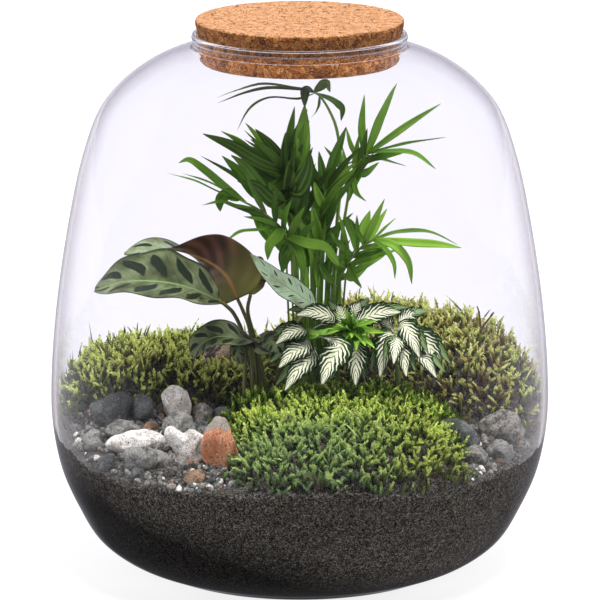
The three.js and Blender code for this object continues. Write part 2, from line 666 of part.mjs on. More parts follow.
// Soil, cut by the stems' holes and the stones' pockets.
const pebbles = stones.map(stone);
const pockets = wasm.Manifold.union(stones.map((row, i) => pocket(row, pebbles[i])));
const holes = wasm.Manifold.union(
  sockets.map(([x, y, radius]) => {
    const path = curve([
      new THREE.Vector3(x, y, soilTop(x, y) - 16 - GAP),
      new THREE.Vector3(x, y, soilTop(x, y) + 30),
    ]);
    const wide = 1.25 * radius + 1.24 * GAP;
    return stem(path, wide, wide, 1, 5);
  }),
);
const bed = room(GAP + 0.15).intersect(ground(soilTop, [-140, 140], [-140, 140], 25, 0));
add("soil", largest(bed.subtract(pockets).subtract(holes)), "soil");

// Moss mounds on the soil; every other point of their grid stands up as a tuft.
const raisedBed = bed.add(bed.translate(0, 0, GAP));
let taken = wasm.Manifold.union([pockets, holes, twigHole, raisedBed]);
for (const [name, mound] of Object.entries(mounds)) {
  const step = 10.5;
  const reach = Math.max(mound.a, mound.b) + 4;
  const height = (x, y) => {
    const rise = moundHeight(mound, x, y);
    const tuft = mound.tuft * chance(Math.round(x * 7.1) + Math.round(y * 13.3) * 3.7);
    return soilTop(x, y) + (rise > 0 ? rise + tuft : Math.max(-8, rise - 2));
  };
  const block = ground(
    height,
    [mound.x - reach, mound.x + reach],
    [mound.y - reach, mound.y + reach],
    step,
    60,
  );
  const body = largest(block.intersect(room(GAP + 0.8)).subtract(taken));
  add(name, body, mound.colour);
  taken = taken.add(largest(block).translate(0, 0, GAP)).add(block);
}

pebbles.forEach((body, i) => {
  add("stone_" + String(i + 1).padStart(2, "0"), body, stones[i][9]);
});
for (const [name, body] of Object.entries(palms)) {
  add(name, body, "palm_leaf");
}
for (const [name, body] of Object.entries(striped)) {
  add(name, body, name === "calathea_sheath" ? "calathea_stem" : "calathea_leaf");
}
for (const [name, body] of Object.entries(nerved)) {
  add(name, body, "fittonia_leaf");
}
add("twig_right", twig, "twig");

export default group;
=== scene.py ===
"""A planted glass jar with a cork stopper: the looks of every piece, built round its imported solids.

Shapes are worked out in millimetres and put into meshes in metres, in the frame of the solids:
+Z up, the jar's front towards -Y and the middle of its base at the origin.
"""
import math

import bpy
import numpy as np
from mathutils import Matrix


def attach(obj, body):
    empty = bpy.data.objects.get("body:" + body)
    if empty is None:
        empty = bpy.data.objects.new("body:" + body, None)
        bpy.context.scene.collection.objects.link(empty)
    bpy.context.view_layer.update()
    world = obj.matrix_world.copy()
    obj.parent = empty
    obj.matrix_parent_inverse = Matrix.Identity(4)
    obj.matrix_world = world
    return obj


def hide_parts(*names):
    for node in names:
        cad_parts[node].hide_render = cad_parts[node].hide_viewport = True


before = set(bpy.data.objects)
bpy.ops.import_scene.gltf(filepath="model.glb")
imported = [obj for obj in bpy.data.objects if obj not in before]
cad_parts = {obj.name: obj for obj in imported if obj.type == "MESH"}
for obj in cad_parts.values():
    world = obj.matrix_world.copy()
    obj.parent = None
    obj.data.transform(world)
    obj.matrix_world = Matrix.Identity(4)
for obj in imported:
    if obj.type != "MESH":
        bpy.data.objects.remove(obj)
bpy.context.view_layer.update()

MM = 0.001
GLASS = 2.5  # thickness of the jar's wall
FLOOR = 3.5  # height of the inside of its base, as it shows
BED = 134.0  # radius of the top of the soil
CORK_FOOT, CORK_TOP = 285.0, 309.5  # heights of the two faces of the cork

# The sketch grid: columns and rows as they are seen from the front, for points at a known depth.
EYE = 149.2  # height of row 300 at the middle of the jar
COLUMN, ROW = 0.562, 0.578  # mm for each column and each row there
SLOPE = 0.2414  # height lost for each mm of depth
DOUBLE = 2570  # mm of depth over which a column doubles its width

# Radius and height of the jar's outside.
WALL = [
    [85.7, 0], [93, 3.2], [104.5, 8.6], [116.5, 18.6], [126, 35], [134.5, 55], [139.2, 79],
    [139.9, 102.4], [136.4, 147.7], [128.8, 196.9], [120.9, 232.4], [111.4, 258],
    [99, 273], [84.8, 283.6], [73, 289.4], [59, 293.8],
]

# The way that the upper side of a leaflet faces: to the viewer or upwards.
VIEWER = [0, -0.85, 0.5]
UPWARD = [0, -0.35, 0.95]

# Each stone: x, y, its three half sizes, its turn, its tilt, the height of its middle over the soil as a
# share of its half height, the depth of its notch, and its slot.
STONES = [
    [-105, -27, 11, 9, 11, 0.3, 0.1, 0.4, 0, "stone_dark"],
    [-87.5, -27, 6, 6.5, 8.5, 0.8, 0.2, 0.4, 0, "stone_dark"],
    [-69, -23, 8.5, 7, 10, 0.2, -0.1, 0.4, 0, "stone_white"],
    [-54.5, -24, 5.8, 5.5, 6.5, 0.6, 0.1, 0.4, 0, "stone_grey"],
    [-99, -46, 8.5, 6.5, 5.5, 0.3, 0.1, 0.5, 0, "stone_grey"],
    [-83.5, -42.5, 5, 4.5, 4, 1.0, 0.1, 0.4, 0, "stone_terracotta"],
    [-90, -62, 13.5, 6, 7, 0.25, 0.15, 0.45, 0, "stone_white"],
    [-67, -47, 10, 8.5, 7.5, 0.5, 0.1, 0.4, 0, "stone_grey"],
    [-62, -74, 10, 6.5, 11, -0.1, -0.35, 0.5, 0.5, "stone_white"],
    [-42.5, -90, 9.5, 8.5, 17, 0.2, 0.05, 0.45, 0, "stone_terracotta"],
    [-104, -75, 5, 4.5, 4.5, 0.7, 0.2, 0.4, 0, "stone_dark"],
    [-84, -82, 10.5, 7, 7.5, 0.1, 0.1, 0.4, 0, "stone_grey"],
    [-68, -94, 6.3, 6.3, 7.2, 0.9, 0.1, 0.4, 0, "stone_dark"],
    [-114, -52, 5.5, 5.5, 5.5, 0.4, 0.1, 0.4, 0, "stone_grey"],
    [-88, -95, 4, 3.6, 4, 0.9, 0.1, 0.4, 0, "stone_grey"],
    [-56, -109, 6, 4.5, 4, 0.2, 0.1, 0.4, 0, "stone_terracotta"],
    [-42, -24, 6, 5, 5, 0.3, 0, 0.4, 0, "stone_dark"],
    [-43, 38, 12, 9, 13, 0.35, 0.1, 1, 0, "stone_white"],
    [87, -50, 12.5, 7.5, 8.5, -0.5, 0.1, 0.45, 0, "stone_dark"],
    [112, -34, 12, 10, 10, 0.2, 0.1, 0.5, 0, "stone_grey"],
    [110, -61, 6.5, 5.5, 6, 0.2, 0.1, 0.4, 0, "stone_white"],
    [97, -74, 7, 5.5, 5.5, 0.9, 0.1, 0.4, 0, "stone_grey"],
]

# Each mound of moss: its middle, its half sizes along and across, its turn, its height over the soil
# and its slot.
MOUNDS = {
    "moss_left": {"x": -82, "y": 50, "a": 72, "b": 58, "turn": 0.1, "high": 10, "colour": "moss_olive"},
    "moss_front": {"x": 24, "y": -63, "a": 62, "b": 72, "turn": 0.08, "high": 16, "colour": "moss_bright"},
    "moss_right": {"x": 74, "y": 64, "a": 100, "b": 60, "turn": -0.5, "high": 26, "colour": "moss_olive"},
}

# Each frond of the palm: where it stands, the points of its stem, and its leaflets, each with its place
# along the stem, its width, the points of its line and the way it faces.
FRONDS = {
    "palm_frond_tall": {
        "root": [17, 33],
        "stem": [[336, 240, 30], [341, 170, 26], [337, 132, 24], [330, 113, 24], [321, 99, 22], [313, 92, 18]],
        "leaflets": [
            [1, 3, [[300, 90, 16], [260, 86, 12], [217, 100, 10]], UPWARD],
            [0.99, 4.5, [[298, 91, 8], [262, 91, 2], [219, 105, -4]], UPWARD],
            [0.93, 2.6, [[300, 101, 12], [270, 100, 2], [251, 110, -3], [238, 132, -6]], UPWARD],
            [0.99, 6, [[306, 92, 12], [305, 99, 9], [305, 109, 8]], VIEWER],
            [0.96, 6, [[321, 88, 26], [326, 83, 30], [330, 93, 32]], VIEWER],
            [0.9, 4.8, [[335, 104, 34], [342, 110, 36], [341, 122, 38]], VIEWER],
            [0.83, 2, [[322, 114, 30], [311, 119, 32]], UPWARD],
        ],
    },
    "palm_frond_right_upper": {
        "root": [25, 39],
        "stem": [[340, 262, 38], [347, 205, 37], [355, 168, 37], [368, 154, 37]],
        "leaflets": [
            [0.93, 5, [[357, 130, 42], [364, 96, 44]], VIEWER],
            [0.96, 5.5, [[379, 118, 40], [396, 84, 40]], VIEWER],
            [1, 4.5, [[405, 126, 30], [440, 105, 24]], VIEWER],
            [1, 3.4, [[402, 143, 36], [446, 138, 34]], UPWARD],
            [0.97, 6, [[390, 153, 28], [415, 156, 18], [435, 170, 10]], UPWARD],
            [0.94, 4, [[382, 161, 46], [406, 167, 50]], UPWARD],
            [0.86, 3, [[338, 167, 50], [319, 182, 56]], UPWARD],
            [0.82, 3.4, [[348, 150, 50], [346, 128, 54]], VIEWER],
            [0.7, 5.5, [[358, 190, 46], [379, 163, 52]], VIEWER],
            [0.62, 3.6, [[352, 206, 28], [366, 202, 20]], UPWARD],
            [0.55, 4.4, [[330, 195, 46], [322, 176, 52]], VIEWER],
        ],
    },
    "palm_frond_right_lower": {
        "root": [22, 22],
        "stem": [[333, 300, 18], [345, 268, 14], [362, 247, 8], [374, 240, 4]],
        "leaflets": [
            [1, 5.5, [[410, 243, -2], [440, 245, -8], [461, 248, -12]], VIEWER],
            [0.97, 4.6, [[398, 233, 14], [430, 233, 22], [458, 245, 26]], UPWARD],
            [0.72, 7.5, [[360, 232, 20], [370, 211, 26]], VIEWER],
            [0.85, 4.4, [[374, 228, 16], [387, 209, 20]], VIEWER],
            [0.95, 1.8, [[384, 228, 0], [396, 218, -4]], VIEWER],
            [0.98, 3.4, [[386, 250, -6], [394, 264, -9], [395, 279, -10]], VIEWER],
            [1, 5.5, [[394, 246, -2], [408, 262, -1], [412, 284, 2]], VIEWER],
            [0.55, 3, [[358, 254, -2], [377, 250, -8]], UPWARD],
            [0.78, 4.6, [[348, 222, 6], [352, 236, 0], [356, 255, -4]], VIEWER],
            [0.25, 5.5, [[348, 290, 26], [371, 263, 32]], VIEWER],
            [0.15, 6, [[326, 282, 12], [318, 262, 8]], VIEWER],
            [0.35, 6, [[330, 262, 4], [322, 242, -2]], VIEWER],
            [0.5, 4.4, [[336, 246, 8], [330, 232, 4]], VIEWER],
            [0.4, 4.4, [[352, 280, 4], [362, 288, -2]], VIEWER],
        ],
    },
    "palm_frond_left_upper": {
        "root": [8, 30],
        "stem": [[304, 260, 22], [299, 220, 18], [291, 186, 14], [284, 164, 12]],
        "leaflets": [
            [0.86, 8.5, [[262, 165, 6], [232, 147, 0], [204, 135, -4]], VIEWER],
            [0.92, 4.2, [[262, 160, 20], [240, 142, 24], [222, 132, 26]], VIEWER],
            [0.96, 2.6, [[266, 152, 28], [245, 131, 34]], VIEWER],
            [0.95, 2.6, [[264, 152, 8], [245, 140, 10]], VIEWER],
            [1, 7, [[274, 148, 14], [256, 130, 14]], VIEWER],
            [0.98, 7, [[288, 148, 18], [291, 128, 20]], VIEWER],
            [0.9, 8, [[300, 160, 20], [314, 166, 24]], VIEWER],
            [0.7, 9, [[262, 196, 8], [240, 174, 0], [223, 157, -8]], VIEWER],
            [0.74, 3.4, [[262, 194, 20], [232, 174, 26], [202, 157, 30]], VIEWER],
            [0.6, 13, [[293, 190, 6], [296, 165, 8], [298, 140, 12]], VIEWER],
            [0.5, 12, [[296, 214, 8], [304, 186, 4], [312, 166, 4]], VIEWER],
            [0.42, 10, [[284, 214, 8], [276, 196, 4], [268, 182, 0]], VIEWER],
            [0.56, 10, [[288, 190, 26], [284, 170, 28], [284, 152, 30]], VIEWER],
            [0.62, 11, [[300, 190, -2], [308, 172, -4], [310, 152, -2]], VIEWER],
            [0.35, 9, [[296, 226, 28], [290, 200, 34], [286, 180, 36]], VIEWER],
            [0.3, 8, [[294, 240, 14], [284, 256, 12], [283, 274, 10]], VIEWER],
            [0.2, 8, [[310, 262, 30], [316, 240, 34], [320, 220, 36]], VIEWER],
            [0.12, 7, [[298, 262, 30], [292, 244, 34], [290, 228, 36]], VIEWER],
            [0.25, 7, [[311, 226, 30], [318, 204, 30], [322, 186, 28]], VIEWER],
            [0.8, 8, [[266, 190, 0], [246, 168, -8], [232, 156, -14]], VIEWER],
            [0.66, 9, [[276, 204, 2], [256, 188, -6], [238, 182, -12]], VIEWER],
            [0.28, 8, [[288, 250, 24], [272, 232, 28], [262, 220, 30]], VIEWER],
        ],
    },
    "palm_frond_middle": {
        "root": [16, 24],
        "stem": [[320, 290, 22], [319, 250, 20], [321, 215, 20], [327, 182, 20]],
        "leaflets": [
            [1, 6.5, [[336, 154, 16], [346, 128, 14]], VIEWER],
            [0.9, 5.5, [[322, 170, 16], [319, 152, 12]], VIEWER],
            [0.75, 6, [[318, 200, 14], [314, 182, 10]], VIEWER],
            [0.7, 5.5, [[334, 204, 14], [340, 186, 10]], VIEWER],
            [0.55, 7, [[330, 222, 12], [337, 200, 6]], VIEWER],
            [0.5, 5, [[334, 234, 20], [346, 226, 20]], UPWARD],
            [0.4, 7, [[315, 228, 12], [312, 206, 8]], VIEWER],
            [0.35, 7, [[330, 246, 12], [340, 222, 8]], VIEWER],
            [0.2, 6, [[312, 262, 14], [308, 240, 8]], VIEWER],
            [0.15, 6, [[330, 272, 20], [338, 248, 20]], VIEWER],
        ],
    },
    "palm_frond_left_lower": {
        "root": [1, 18],
        "stem": [[296, 290, 12], [293, 256, 4], [284, 232, -2], [262, 212, -8], [240, 200, -12]],
        "leaflets": [
            [0.93, 5, [[226, 188, -14], [204, 170, -14], [190, 161, -12], [180, 164, -10]], VIEWER],
            [1, 2.4, [[222, 194, -20], [196, 182, -24], [168, 174, -26]], UPWARD],
            [0.98, 2.2, [[224, 190, -6], [204, 181, 0], [183, 174, 4]], UPWARD],
            [0.8, 4.4, [[240, 208, -18], [222, 203, -22], [203, 206, -24]], UPWARD],
            [1, 8, [[228, 196, -15], [221, 202, -18], [221, 212, -20]], VIEWER],
            [0.6, 4, [[262, 230, -8], [240, 233, -12], [225, 243, -14]], UPWARD],
            [0.55, 7.5, [[278, 236, -12], [270, 246, -18], [268, 260, -20]], VIEWER],
            [0.5, 5, [[266, 226, 6], [250, 214, 10]], VIEWER],
            [0.4, 9, [[276, 240, 4], [262, 226, 10], [252, 206, 16]], VIEWER],
            [0.42, 7, [[296, 246, -8], [302, 262, -16], [304, 281, -18]], VIEWER],
            [0.3, 6.5, [[284, 256, -2], [282, 274, -6]], VIEWER],
            [0.45, 7, [[308, 244, -12], [326, 248, -14], [341, 267, -14]], VIEWER],
        ],
    },
}

# Each leaf of the prayer plant: where it stands, the points of its stalk and of its blade, its width, the
# way its upper side faces at its foot and at its tip, its fold in radians, its wave in mm and its outline.
CALATHEA = {
    "calathea_leaf_front": {
        "root": [-31, -8],
        "petiole": [[244, 338, -4], [235, 315, -8], [227, 306, -16], [219, 300, -25]],
        "blade": [[190, 288, -30], [160, 282, -32], [126, 282, -30], [96, 290, -24]],
        "width": 41, "face": [0.1, -0.5, 0.86], "fold": 0.34, "wave": 1.2, "outline": "oval",
    },
    "calathea_leaf_back": {
        "root": [-26, -2],
        "petiole": [[250, 330, -5], [243, 310, -8], [238, 299, -10]],
        "blade": [[226, 275, -8], [206, 260, -4], [182, 252, 0], [152, 249, 4], [125, 254, 4]],
        "width": 46, "face": [0.1, 0.85, 0.3], "face_end": [0, -0.6, 0.8], "fold": 0.1, "wave": 1,
        "outline": "drop",
    },
    "calathea_leaf_dark": {
        "root": [-19, 0],
        "petiole": [[254, 336, 1], [248, 310, -2], [251, 294, -6]],
        "blade": [[254, 280, -4], [258, 268, 0], [262, 257, 4]],
        "width": 16, "face": [-0.2, 0.9, 0.2], "fold": 0.1, "wave": 0.8, "outline": "oval",
    },
    "calathea_leaf_right": {
        "root": [-13, -8],
        "petiole": [[284, 345, -16], [302, 318, -18], [314, 306, -20]],
        "blade": [[298, 294, -24], [274, 278, -28], [251, 254, -30]],
        "width": 15, "face": [0.3, -0.8, 0.5], "fold": 0.15, "wave": 0.8, "outline": "lance",
    },
}

# Its sheath: where it stands, the points of its stem, and its small leaves, each with the points of its
# line, its width, the way it faces, its fold and its wave.
SHEATH = {
    "root": [-24, -13],
    "path": [[255, 370, -14], [251, 340, -15]],
    "leaves": [
        [[[239, 338, -22], [217, 337, -26], [202, 344, -30], [193, 358, -34]],
         20, [-0.2, -0.6, 0.75], 0.35, 0.6],
        [[[242, 342, -20], [238, 352, -22], [243, 364, -22]], 11, [0.3, -0.8, 0.4], 0.2, 0.3],
        [[[256, 339, -22], [260, 341, -24], [270, 332, -24]], 4, [0, -0.6, 0.8], 0.25, 0.3],
        [[[262, 346, -24], [272, 342, -26], [276, 350, -28], [274, 362, -28]],
         13, [0.2, -0.8, 0.5], 0.2, 0.3],
    ],
}

# Each shoot of the nerve plant: where it stands, the points of its stem, and its leaves, each with its
# start, its tip, its width and how far its middle bows up.
BUSH = {
    "fittonia_left": {
        "root": [4, -8],
        "top": [[300, 345, -16], [308, 330, -18]],
        "leaves": [
            [[330, 318, -20], [297, 315, -32], 13, 2],
            [[304, 330, -22], [276, 344, -34], 12, 2],
            [[306, 346, -26], [279, 368, -40], 14, 2],
            [[312, 356, -30], [285, 391, -44], 14, 2],
            [[340, 346, -32], [322, 385, -46], 18, 2],
            [[318, 338, -28], [330, 334, -46], 10, 3],
        ],
    },
    "fittonia_middle": {
        "root": [30, -4],
        "top": [[350, 342, -6], [350, 326, -8]],
        "leaves": [
            [[344, 320, -6], [338, 306, 2], 12, 1],
            [[352, 318, -4], [360, 303, 6], 12, 1],
            [[362, 320, -8], [401, 312, -8], 14, 2],
            [[352, 326, -14], [344, 314, -26], 9, 2],
            [[352, 330, -14], [352, 344, -30], 10, 3],
            [[360, 332, -12], [376, 336, -26], 10, 3],
            [[356, 348, -20], [356, 386, -34], 15, 2],
            [[344, 326, -10], [326, 340, -22], 9, 2],
            [[350, 330, -14], [336, 330, -32], 10, 3],
            [[356, 328, -14], [368, 324, -30], 10, 3],
            [[350, 334, -16], [342, 354, -34], 10, 2],
            [[358, 334, -16], [366, 352, -32], 10, 2],
        ],
    },
    "fittonia_right": {
        "root": [56, -6],
        "top": [[396, 345, -10], [396, 332, -12]],
        "leaves": [
            [[390, 336, -16], [380, 377, -34], 14, 2],
            [[400, 344, -18], [407, 377, -36], 12, 2],
            [[404, 326, -12], [420, 358, -28], 13, 2],
            [[418, 334, -6], [443, 370, -18], 14, 2],
            [[416, 352, -10], [437, 378, -34], 11, 2],
            [[388, 324, -6], [374, 308, 8], 11, 1],
            [[404, 318, -2], [420, 316, 8], 11, 1],
            [[398, 340, -20], [394, 364, -44], 11, 2],
        ],
    },
}


# Shapes


def unit(vectors):
    """Vectors of length one."""
    return vectors / np.maximum(np.linalg.norm(vectors, axis=-1, keepdims=True), 1e-9)


def at(points):
    """Points of the sketch grid, given as column, row and depth, in millimetres."""
    column, row, y = np.moveaxis(np.asarray(points, float), -1, 0)
    near = 1 + y / DOUBLE
    z = EYE + (300 - row) * ROW * near - SLOPE * y
    return np.stack([(column - 300) * COLUMN * near, y, z], -1)


def along(points, places):
    """A smooth curve through points, a centripetal Catmull-Rom spline, at places from 0 to 1."""
    points = np.asarray(points, float)
    ends = np.vstack([2 * points[0] - points[1], points, 2 * points[-1] - points[-2]])
    spans = len(points) - 1
    place = np.clip(np.asarray(places, float), 0, 1) * spans
    first = np.minimum(place.astype(int), spans - 1)
    w = (place - first)[:, None]
    p0, p1, p2, p3 = (ends[first + k] for k in range(4))
    d0, d1, d2 = (
        np.maximum(np.linalg.norm(b - a, axis=1, keepdims=True), 1e-4) ** 0.5
        for a, b in ((p0, p1), (p1, p2), (p2, p3))
    )
    t1 = ((p1 - p0) / d0 - (p2 - p0) / (d0 + d1) + (p2 - p1) / d1) * d1
    t2 = ((p2 - p1) / d1 - (p3 - p1) / (d1 + d2) + (p3 - p2) / d2) * d1
    return p1 + t1 * w + (3 * (p2 - p1) - 2 * t1 - t2) * w**2 + (2 * (p1 - p2) + t1 + t2) * w**3


def cells(rows, columns, closed=False):
    """Four-cornered faces of a grid of points; closed joins the last column to the first."""
    i, j = np.meshgrid(np.arange(rows - 1), np.arange(columns if closed else columns - 1), indexing="ij")
    after = (j + 1) % columns
    quads = [i * columns + j, i * columns + after, (i + 1) * columns + after, (i + 1) * columns + j]
    return np.stack(quads, -1).reshape(-1, 4)


def closed_grid(rows, columns):
    """Faces of a grid closed round its axis, with a fan of faces from its first row to the point that
    comes after the grid, and one from its last row to the point after that."""
    k = np.arange(columns)
    after = (k + 1) % columns
    foot = rows * columns
    last = foot - columns
    return np.vstack([
        cells(rows, columns, closed=True),
        np.stack([np.full(columns, foot), after, k, k], -1),
        np.stack([np.full(columns, foot + 1), last + k, last + after, last + after], -1),
    ])


def used(points, faces, values):
    """The shape without the points that no face uses."""
    kept, numbers = np.unique(faces, return_inverse=True)
    return points[kept], numbers.reshape(faces.shape), {k: v[kept] for k, v in values.items()}


def blade(points, width, rows, columns, outline, face, face_end=None, fold=0.25, wave=0.0, waves=3,
          thick=0.4):
    """A thin leaf along a curve: half its width times its outline to each side of the midrib, both
    halves folded up by an angle, the edges rippled, and its thickness ending in a shared rim.
    The shape is its points, its faces and, for each point, its place along (u) and across (v)."""
    u = np.linspace(0, 1, rows + 1)
    v = np.linspace(-1, 1, columns + 1)
    centre = along(points, u)
    tangent = unit(np.gradient(centre, axis=0))
    look = np.asarray(face, float) + (np.asarray(face_end or face, float) - face) * u[:, None] ** 1.45
    side = unit(np.cross(look, tangent))
    up = unit(np.cross(tangent, side))
    shape = outline(u)
    half = (width / 2 * shape)[:, None, None]
    lift = half[..., 0] * np.abs(v) * math.sin(fold)
    lift = lift + wave * np.sin(waves * 2 * np.pi * u[:, None] + v) * v**2 * shape[:, None]
    out = half * (v * math.cos(fold))[:, None]
    middle = centre[:, None] + side[:, None] * out + up[:, None] * lift[..., None]
    depth = thick / 2 * (1 - v**2) * np.sin(np.pi * np.clip(u[:, None], 0.02, 0.98))
    top = middle + up[:, None] * depth[..., None]
    under = middle - up[:, None] * depth[..., None]
    count = (rows + 1) * (columns + 1)
    ids = np.arange(count).reshape(rows + 1, columns + 1)
    rim = np.zeros_like(ids, bool)
    rim[[0, -1]] = True
    rim[:, [0, -1]] = True
    below = np.where(rim, ids, ids + count).ravel()
    grid = cells(rows + 1, columns + 1)
    faces = np.vstack([grid[:, ::-1], below[grid]])
    across = np.broadcast_to(v, ids.shape).ravel()
    down = np.broadcast_to(u[:, None], ids.shape).ravel()
    values = {"along": np.tile(down, 2), "across": np.tile(across, 2)}
    return used(np.vstack([top.reshape(-1, 3), under.reshape(-1, 3)]), faces, values)


def tube(points, first, last, rows, sides=8, ripple=0.0):
    """A round stem along a curve, its radius running from first to last, with a point at each end."""
    u = np.linspace(0, 1, rows + 1)
    centre = along(points, u)
    tangent = unit(np.gradient(centre, axis=0))
    side = unit(np.cross(tangent, [0.2, 0.95, 0.1]))
    out = np.cross(tangent, side)
    turn = np.linspace(0, 2 * np.pi, sides, endpoint=False)
    radius = first + (last - first) * u + ripple * np.sin(9 * np.pi * u)
    ring = side[:, None] * np.cos(turn)[:, None] + out[:, None] * np.sin(turn)[:, None]
    body = (centre[:, None] + radius[:, None, None] * ring).reshape(-1, 3)
    points = np.vstack([body, centre[0], centre[-1]])
    down = np.concatenate([np.repeat(u, sides), [0, 1]])
    across = np.concatenate([np.tile(np.cos(turn), rows + 1), [0, 0]])
    return points, closed_grid(rows + 1, sides), {"along": down, "across": across}


def turned(profile, sides, ripple=None):
    """A profile of radius and height turned about the jar's axis, closed by one point where it meets it."""
    profile = np.asarray(profile, float)
    angle = np.linspace(0, 2 * np.pi, sides, endpoint=False)
    ring = profile[1:-1]
    radius = ring[:, 0][:, None] + np.zeros(sides)
    height = ring[:, 1][:, None] + np.zeros(sides)
    if ripple is not None:
        radius, height = ripple(radius, height, angle)
    body = np.stack([radius * np.cos(angle), radius * np.sin(angle), height], -1).reshape(-1, 3)
    ends = [[0, 0, profile[0, 1]], [0, 0, profile[-1, 1]]]
    return np.vstack([body, ends]), closed_grid(len(ring), sides)


def joined(shapes):
    """Several shapes as one: points, faces, values and the number of each face's material."""
    points, faces, numbers = [], [], []
    values = {}
    total = 0
    for shape, number, extra in shapes:
        own = dict(shape[2])
        own.update({k: np.full(len(shape[0]), x) for k, x in extra.items()})
        points.append(shape[0])
        faces.append(shape[1] + total)
        numbers.append(np.full(len(shape[1]), number))
        for key, value in own.items():
            values.setdefault(key, []).append(value)
        total += len(shape[0])
    values = {k: np.concatenate(v) for k, v in values.items()}
    return np.vstack(points), np.vstack(faces), values, np.concatenate(numbers)


def piece(name, points, faces, materials, stands_for=(), values=None, numbers=None, smooth=True):
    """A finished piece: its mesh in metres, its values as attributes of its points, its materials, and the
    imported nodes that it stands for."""
    mesh = bpy.data.meshes.new(name)
    corners = [list(dict.fromkeys(f)) for f in faces.tolist()] if faces.shape[1] == 4 else faces.tolist()
    mesh.from_pydata((points * MM).tolist(), [], corners)
    for key, value in (values or {}).items():
        mesh.attributes.new(key, "FLOAT", "POINT").data.foreach_set("value", value.astype(np.float32))
    for material in materials:
        mesh.materials.append(material)
    if numbers is not None:
        mesh.polygons.foreach_set("material_index", numbers.astype(np.int32))
    mesh.polygons.foreach_set("use_smooth", np.full(len(faces), smooth))
    mesh.update()
    made = bpy.data.objects.new(name, mesh)
    bpy.context.scene.collection.objects.link(made)
    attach(made, "root")
    if stands_for:
        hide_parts(*stands_for)
    return made


# Outlines: half width along a leaf, from 0 at its base to 1 at its tip.


def lance(u):
    """Narrow and pointed, widest before the middle."""
    return np.maximum(0.02, np.sin(np.pi * (0.04 + 0.955 * u) ** 0.8)) ** 0.8


def oval(u):
    """Broad with a short point."""
    return np.maximum(0.02, np.sin(np.pi * (0.02 + 0.975 * u) ** 0.9)) ** 0.6


def drop(u):
    """Widest near the base, with a long point."""
    return np.maximum(0.02, np.sin(np.pi * (0.02 + 0.975 * u) ** 0.6)) ** 0.8


def stalked(u):
    """A thin stalk, then a broad leaf with a point and a scalloped edge."""
    leaf = np.maximum(0.02, np.sin(np.pi * np.clip((u - 0.16) / 0.85, 0.01, 0.995) ** 0.9)) ** 0.75
    leaf = leaf * (1 + 0.07 * np.sin(60 * u)) * (1 - 0.4 * np.clip((u - 0.6) / 0.4, 0, 1))
    return np.where(u < 0.2, 0.1, np.maximum(leaf, 0.02))


OUTLINES = {"lance": lance, "oval": oval, "drop": drop}


# Ground


def soil_top(x, y):
    """Height of the soil: lower at the front left and front right, higher at the back left."""
    r = np.hypot(x, y) / BED
    dip = 14 * r**4 * (np.abs(x) / BED) * (0.5 - y / (2 * BED))
    rise = 10 * np.exp(-(((x + 105) / 55) ** 2) - ((y - 15) / 55) ** 2)
    return 86 + 0.07 * y - dip + rise + 0.9 * np.sin(0.11 * x + 1) * np.cos(0.13 * y)


def mound_rise(mound, x, y):
    """How far a mound of moss stands above the soil: its height times one less the fourth powers of
    the place along and across it, with a slow ripple."""
    c, s = math.cos(mound["turn"]), math.sin(mound["turn"])
    u = ((x - mound["x"]) * c + (y - mound["y"]) * s) / mound["a"]
    v = (-(x - mound["x"]) * s + (y - mound["y"]) * c) / mound["b"]
    ripple = 1.6 * np.sin(0.16 * x + 0.4 * mound["x"]) * np.cos(0.15 * y)
    return mound["high"] * (1 - u**4 - v**4) + ripple


def wall_profile(distance, count=90):
    """The jar's outline moved in by a distance, as radius and height."""
    line = along(np.array([[r, z, 0] for r, z in WALL]), np.linspace(0, 1, count))[:, :2]
    way = unit(np.gradient(line, axis=0))
    return line + distance * np.stack([-way[:, 1], way[:, 0]], -1)


INSIDE = wall_profile(GLASS)


def wall_radius(z):
    """Radius of the inside of the glass at a height."""
    return np.interp(z, INSIDE[:, 1], INSIDE[:, 0])


def footing(x, y, under, over):
    """The straight foot of a stem, from below the top of the soil to above it."""
    z = float(soil_top(x, y))
    return [[x, y, z - under], [x, y, z], [x, y, z + over]]


# Materials


def linear(code):
    """The linear colour of an sRGB hex code."""
    value = np.array([int(code[i:i + 2], 16) for i in (1, 3, 5)]) / 255
    value = np.where(value <= 0.04045, value / 12.92, ((value + 0.055) / 1.055) ** 2.4)
    return (*value.tolist(), 1.0)


def node(tree, kind, sockets=None, stops=None, **settings):
    """One shader node: its sockets get a value or a link, its ramp gets stops, and its settings are set."""
    made = tree.nodes.new("ShaderNode" + kind)
    for key, value in settings.items():
        setattr(made, key, value)
    if stops:
        ramp = made.color_ramp
        while len(ramp.elements) < len(stops):
            ramp.elements.new(0.5)
        for element, (place, colour) in zip(ramp.elements, stops):
            element.position = place
            element.color = linear(colour)
    for key, value in (sockets or {}).items():
        if isinstance(value, bpy.types.NodeSocket):
            tree.links.new(value, made.inputs[key])
        else:
            made.inputs[key].default_value = value
    return made


def material(name):
    """An empty material and its tree, with Object coordinates in metres."""
    made = bpy.data.materials.new(name)
    made.use_nodes = True
    tree = made.node_tree
    tree.nodes.clear()
    place = node(tree, "TexCoord").outputs["Object"]
    return made, tree, place


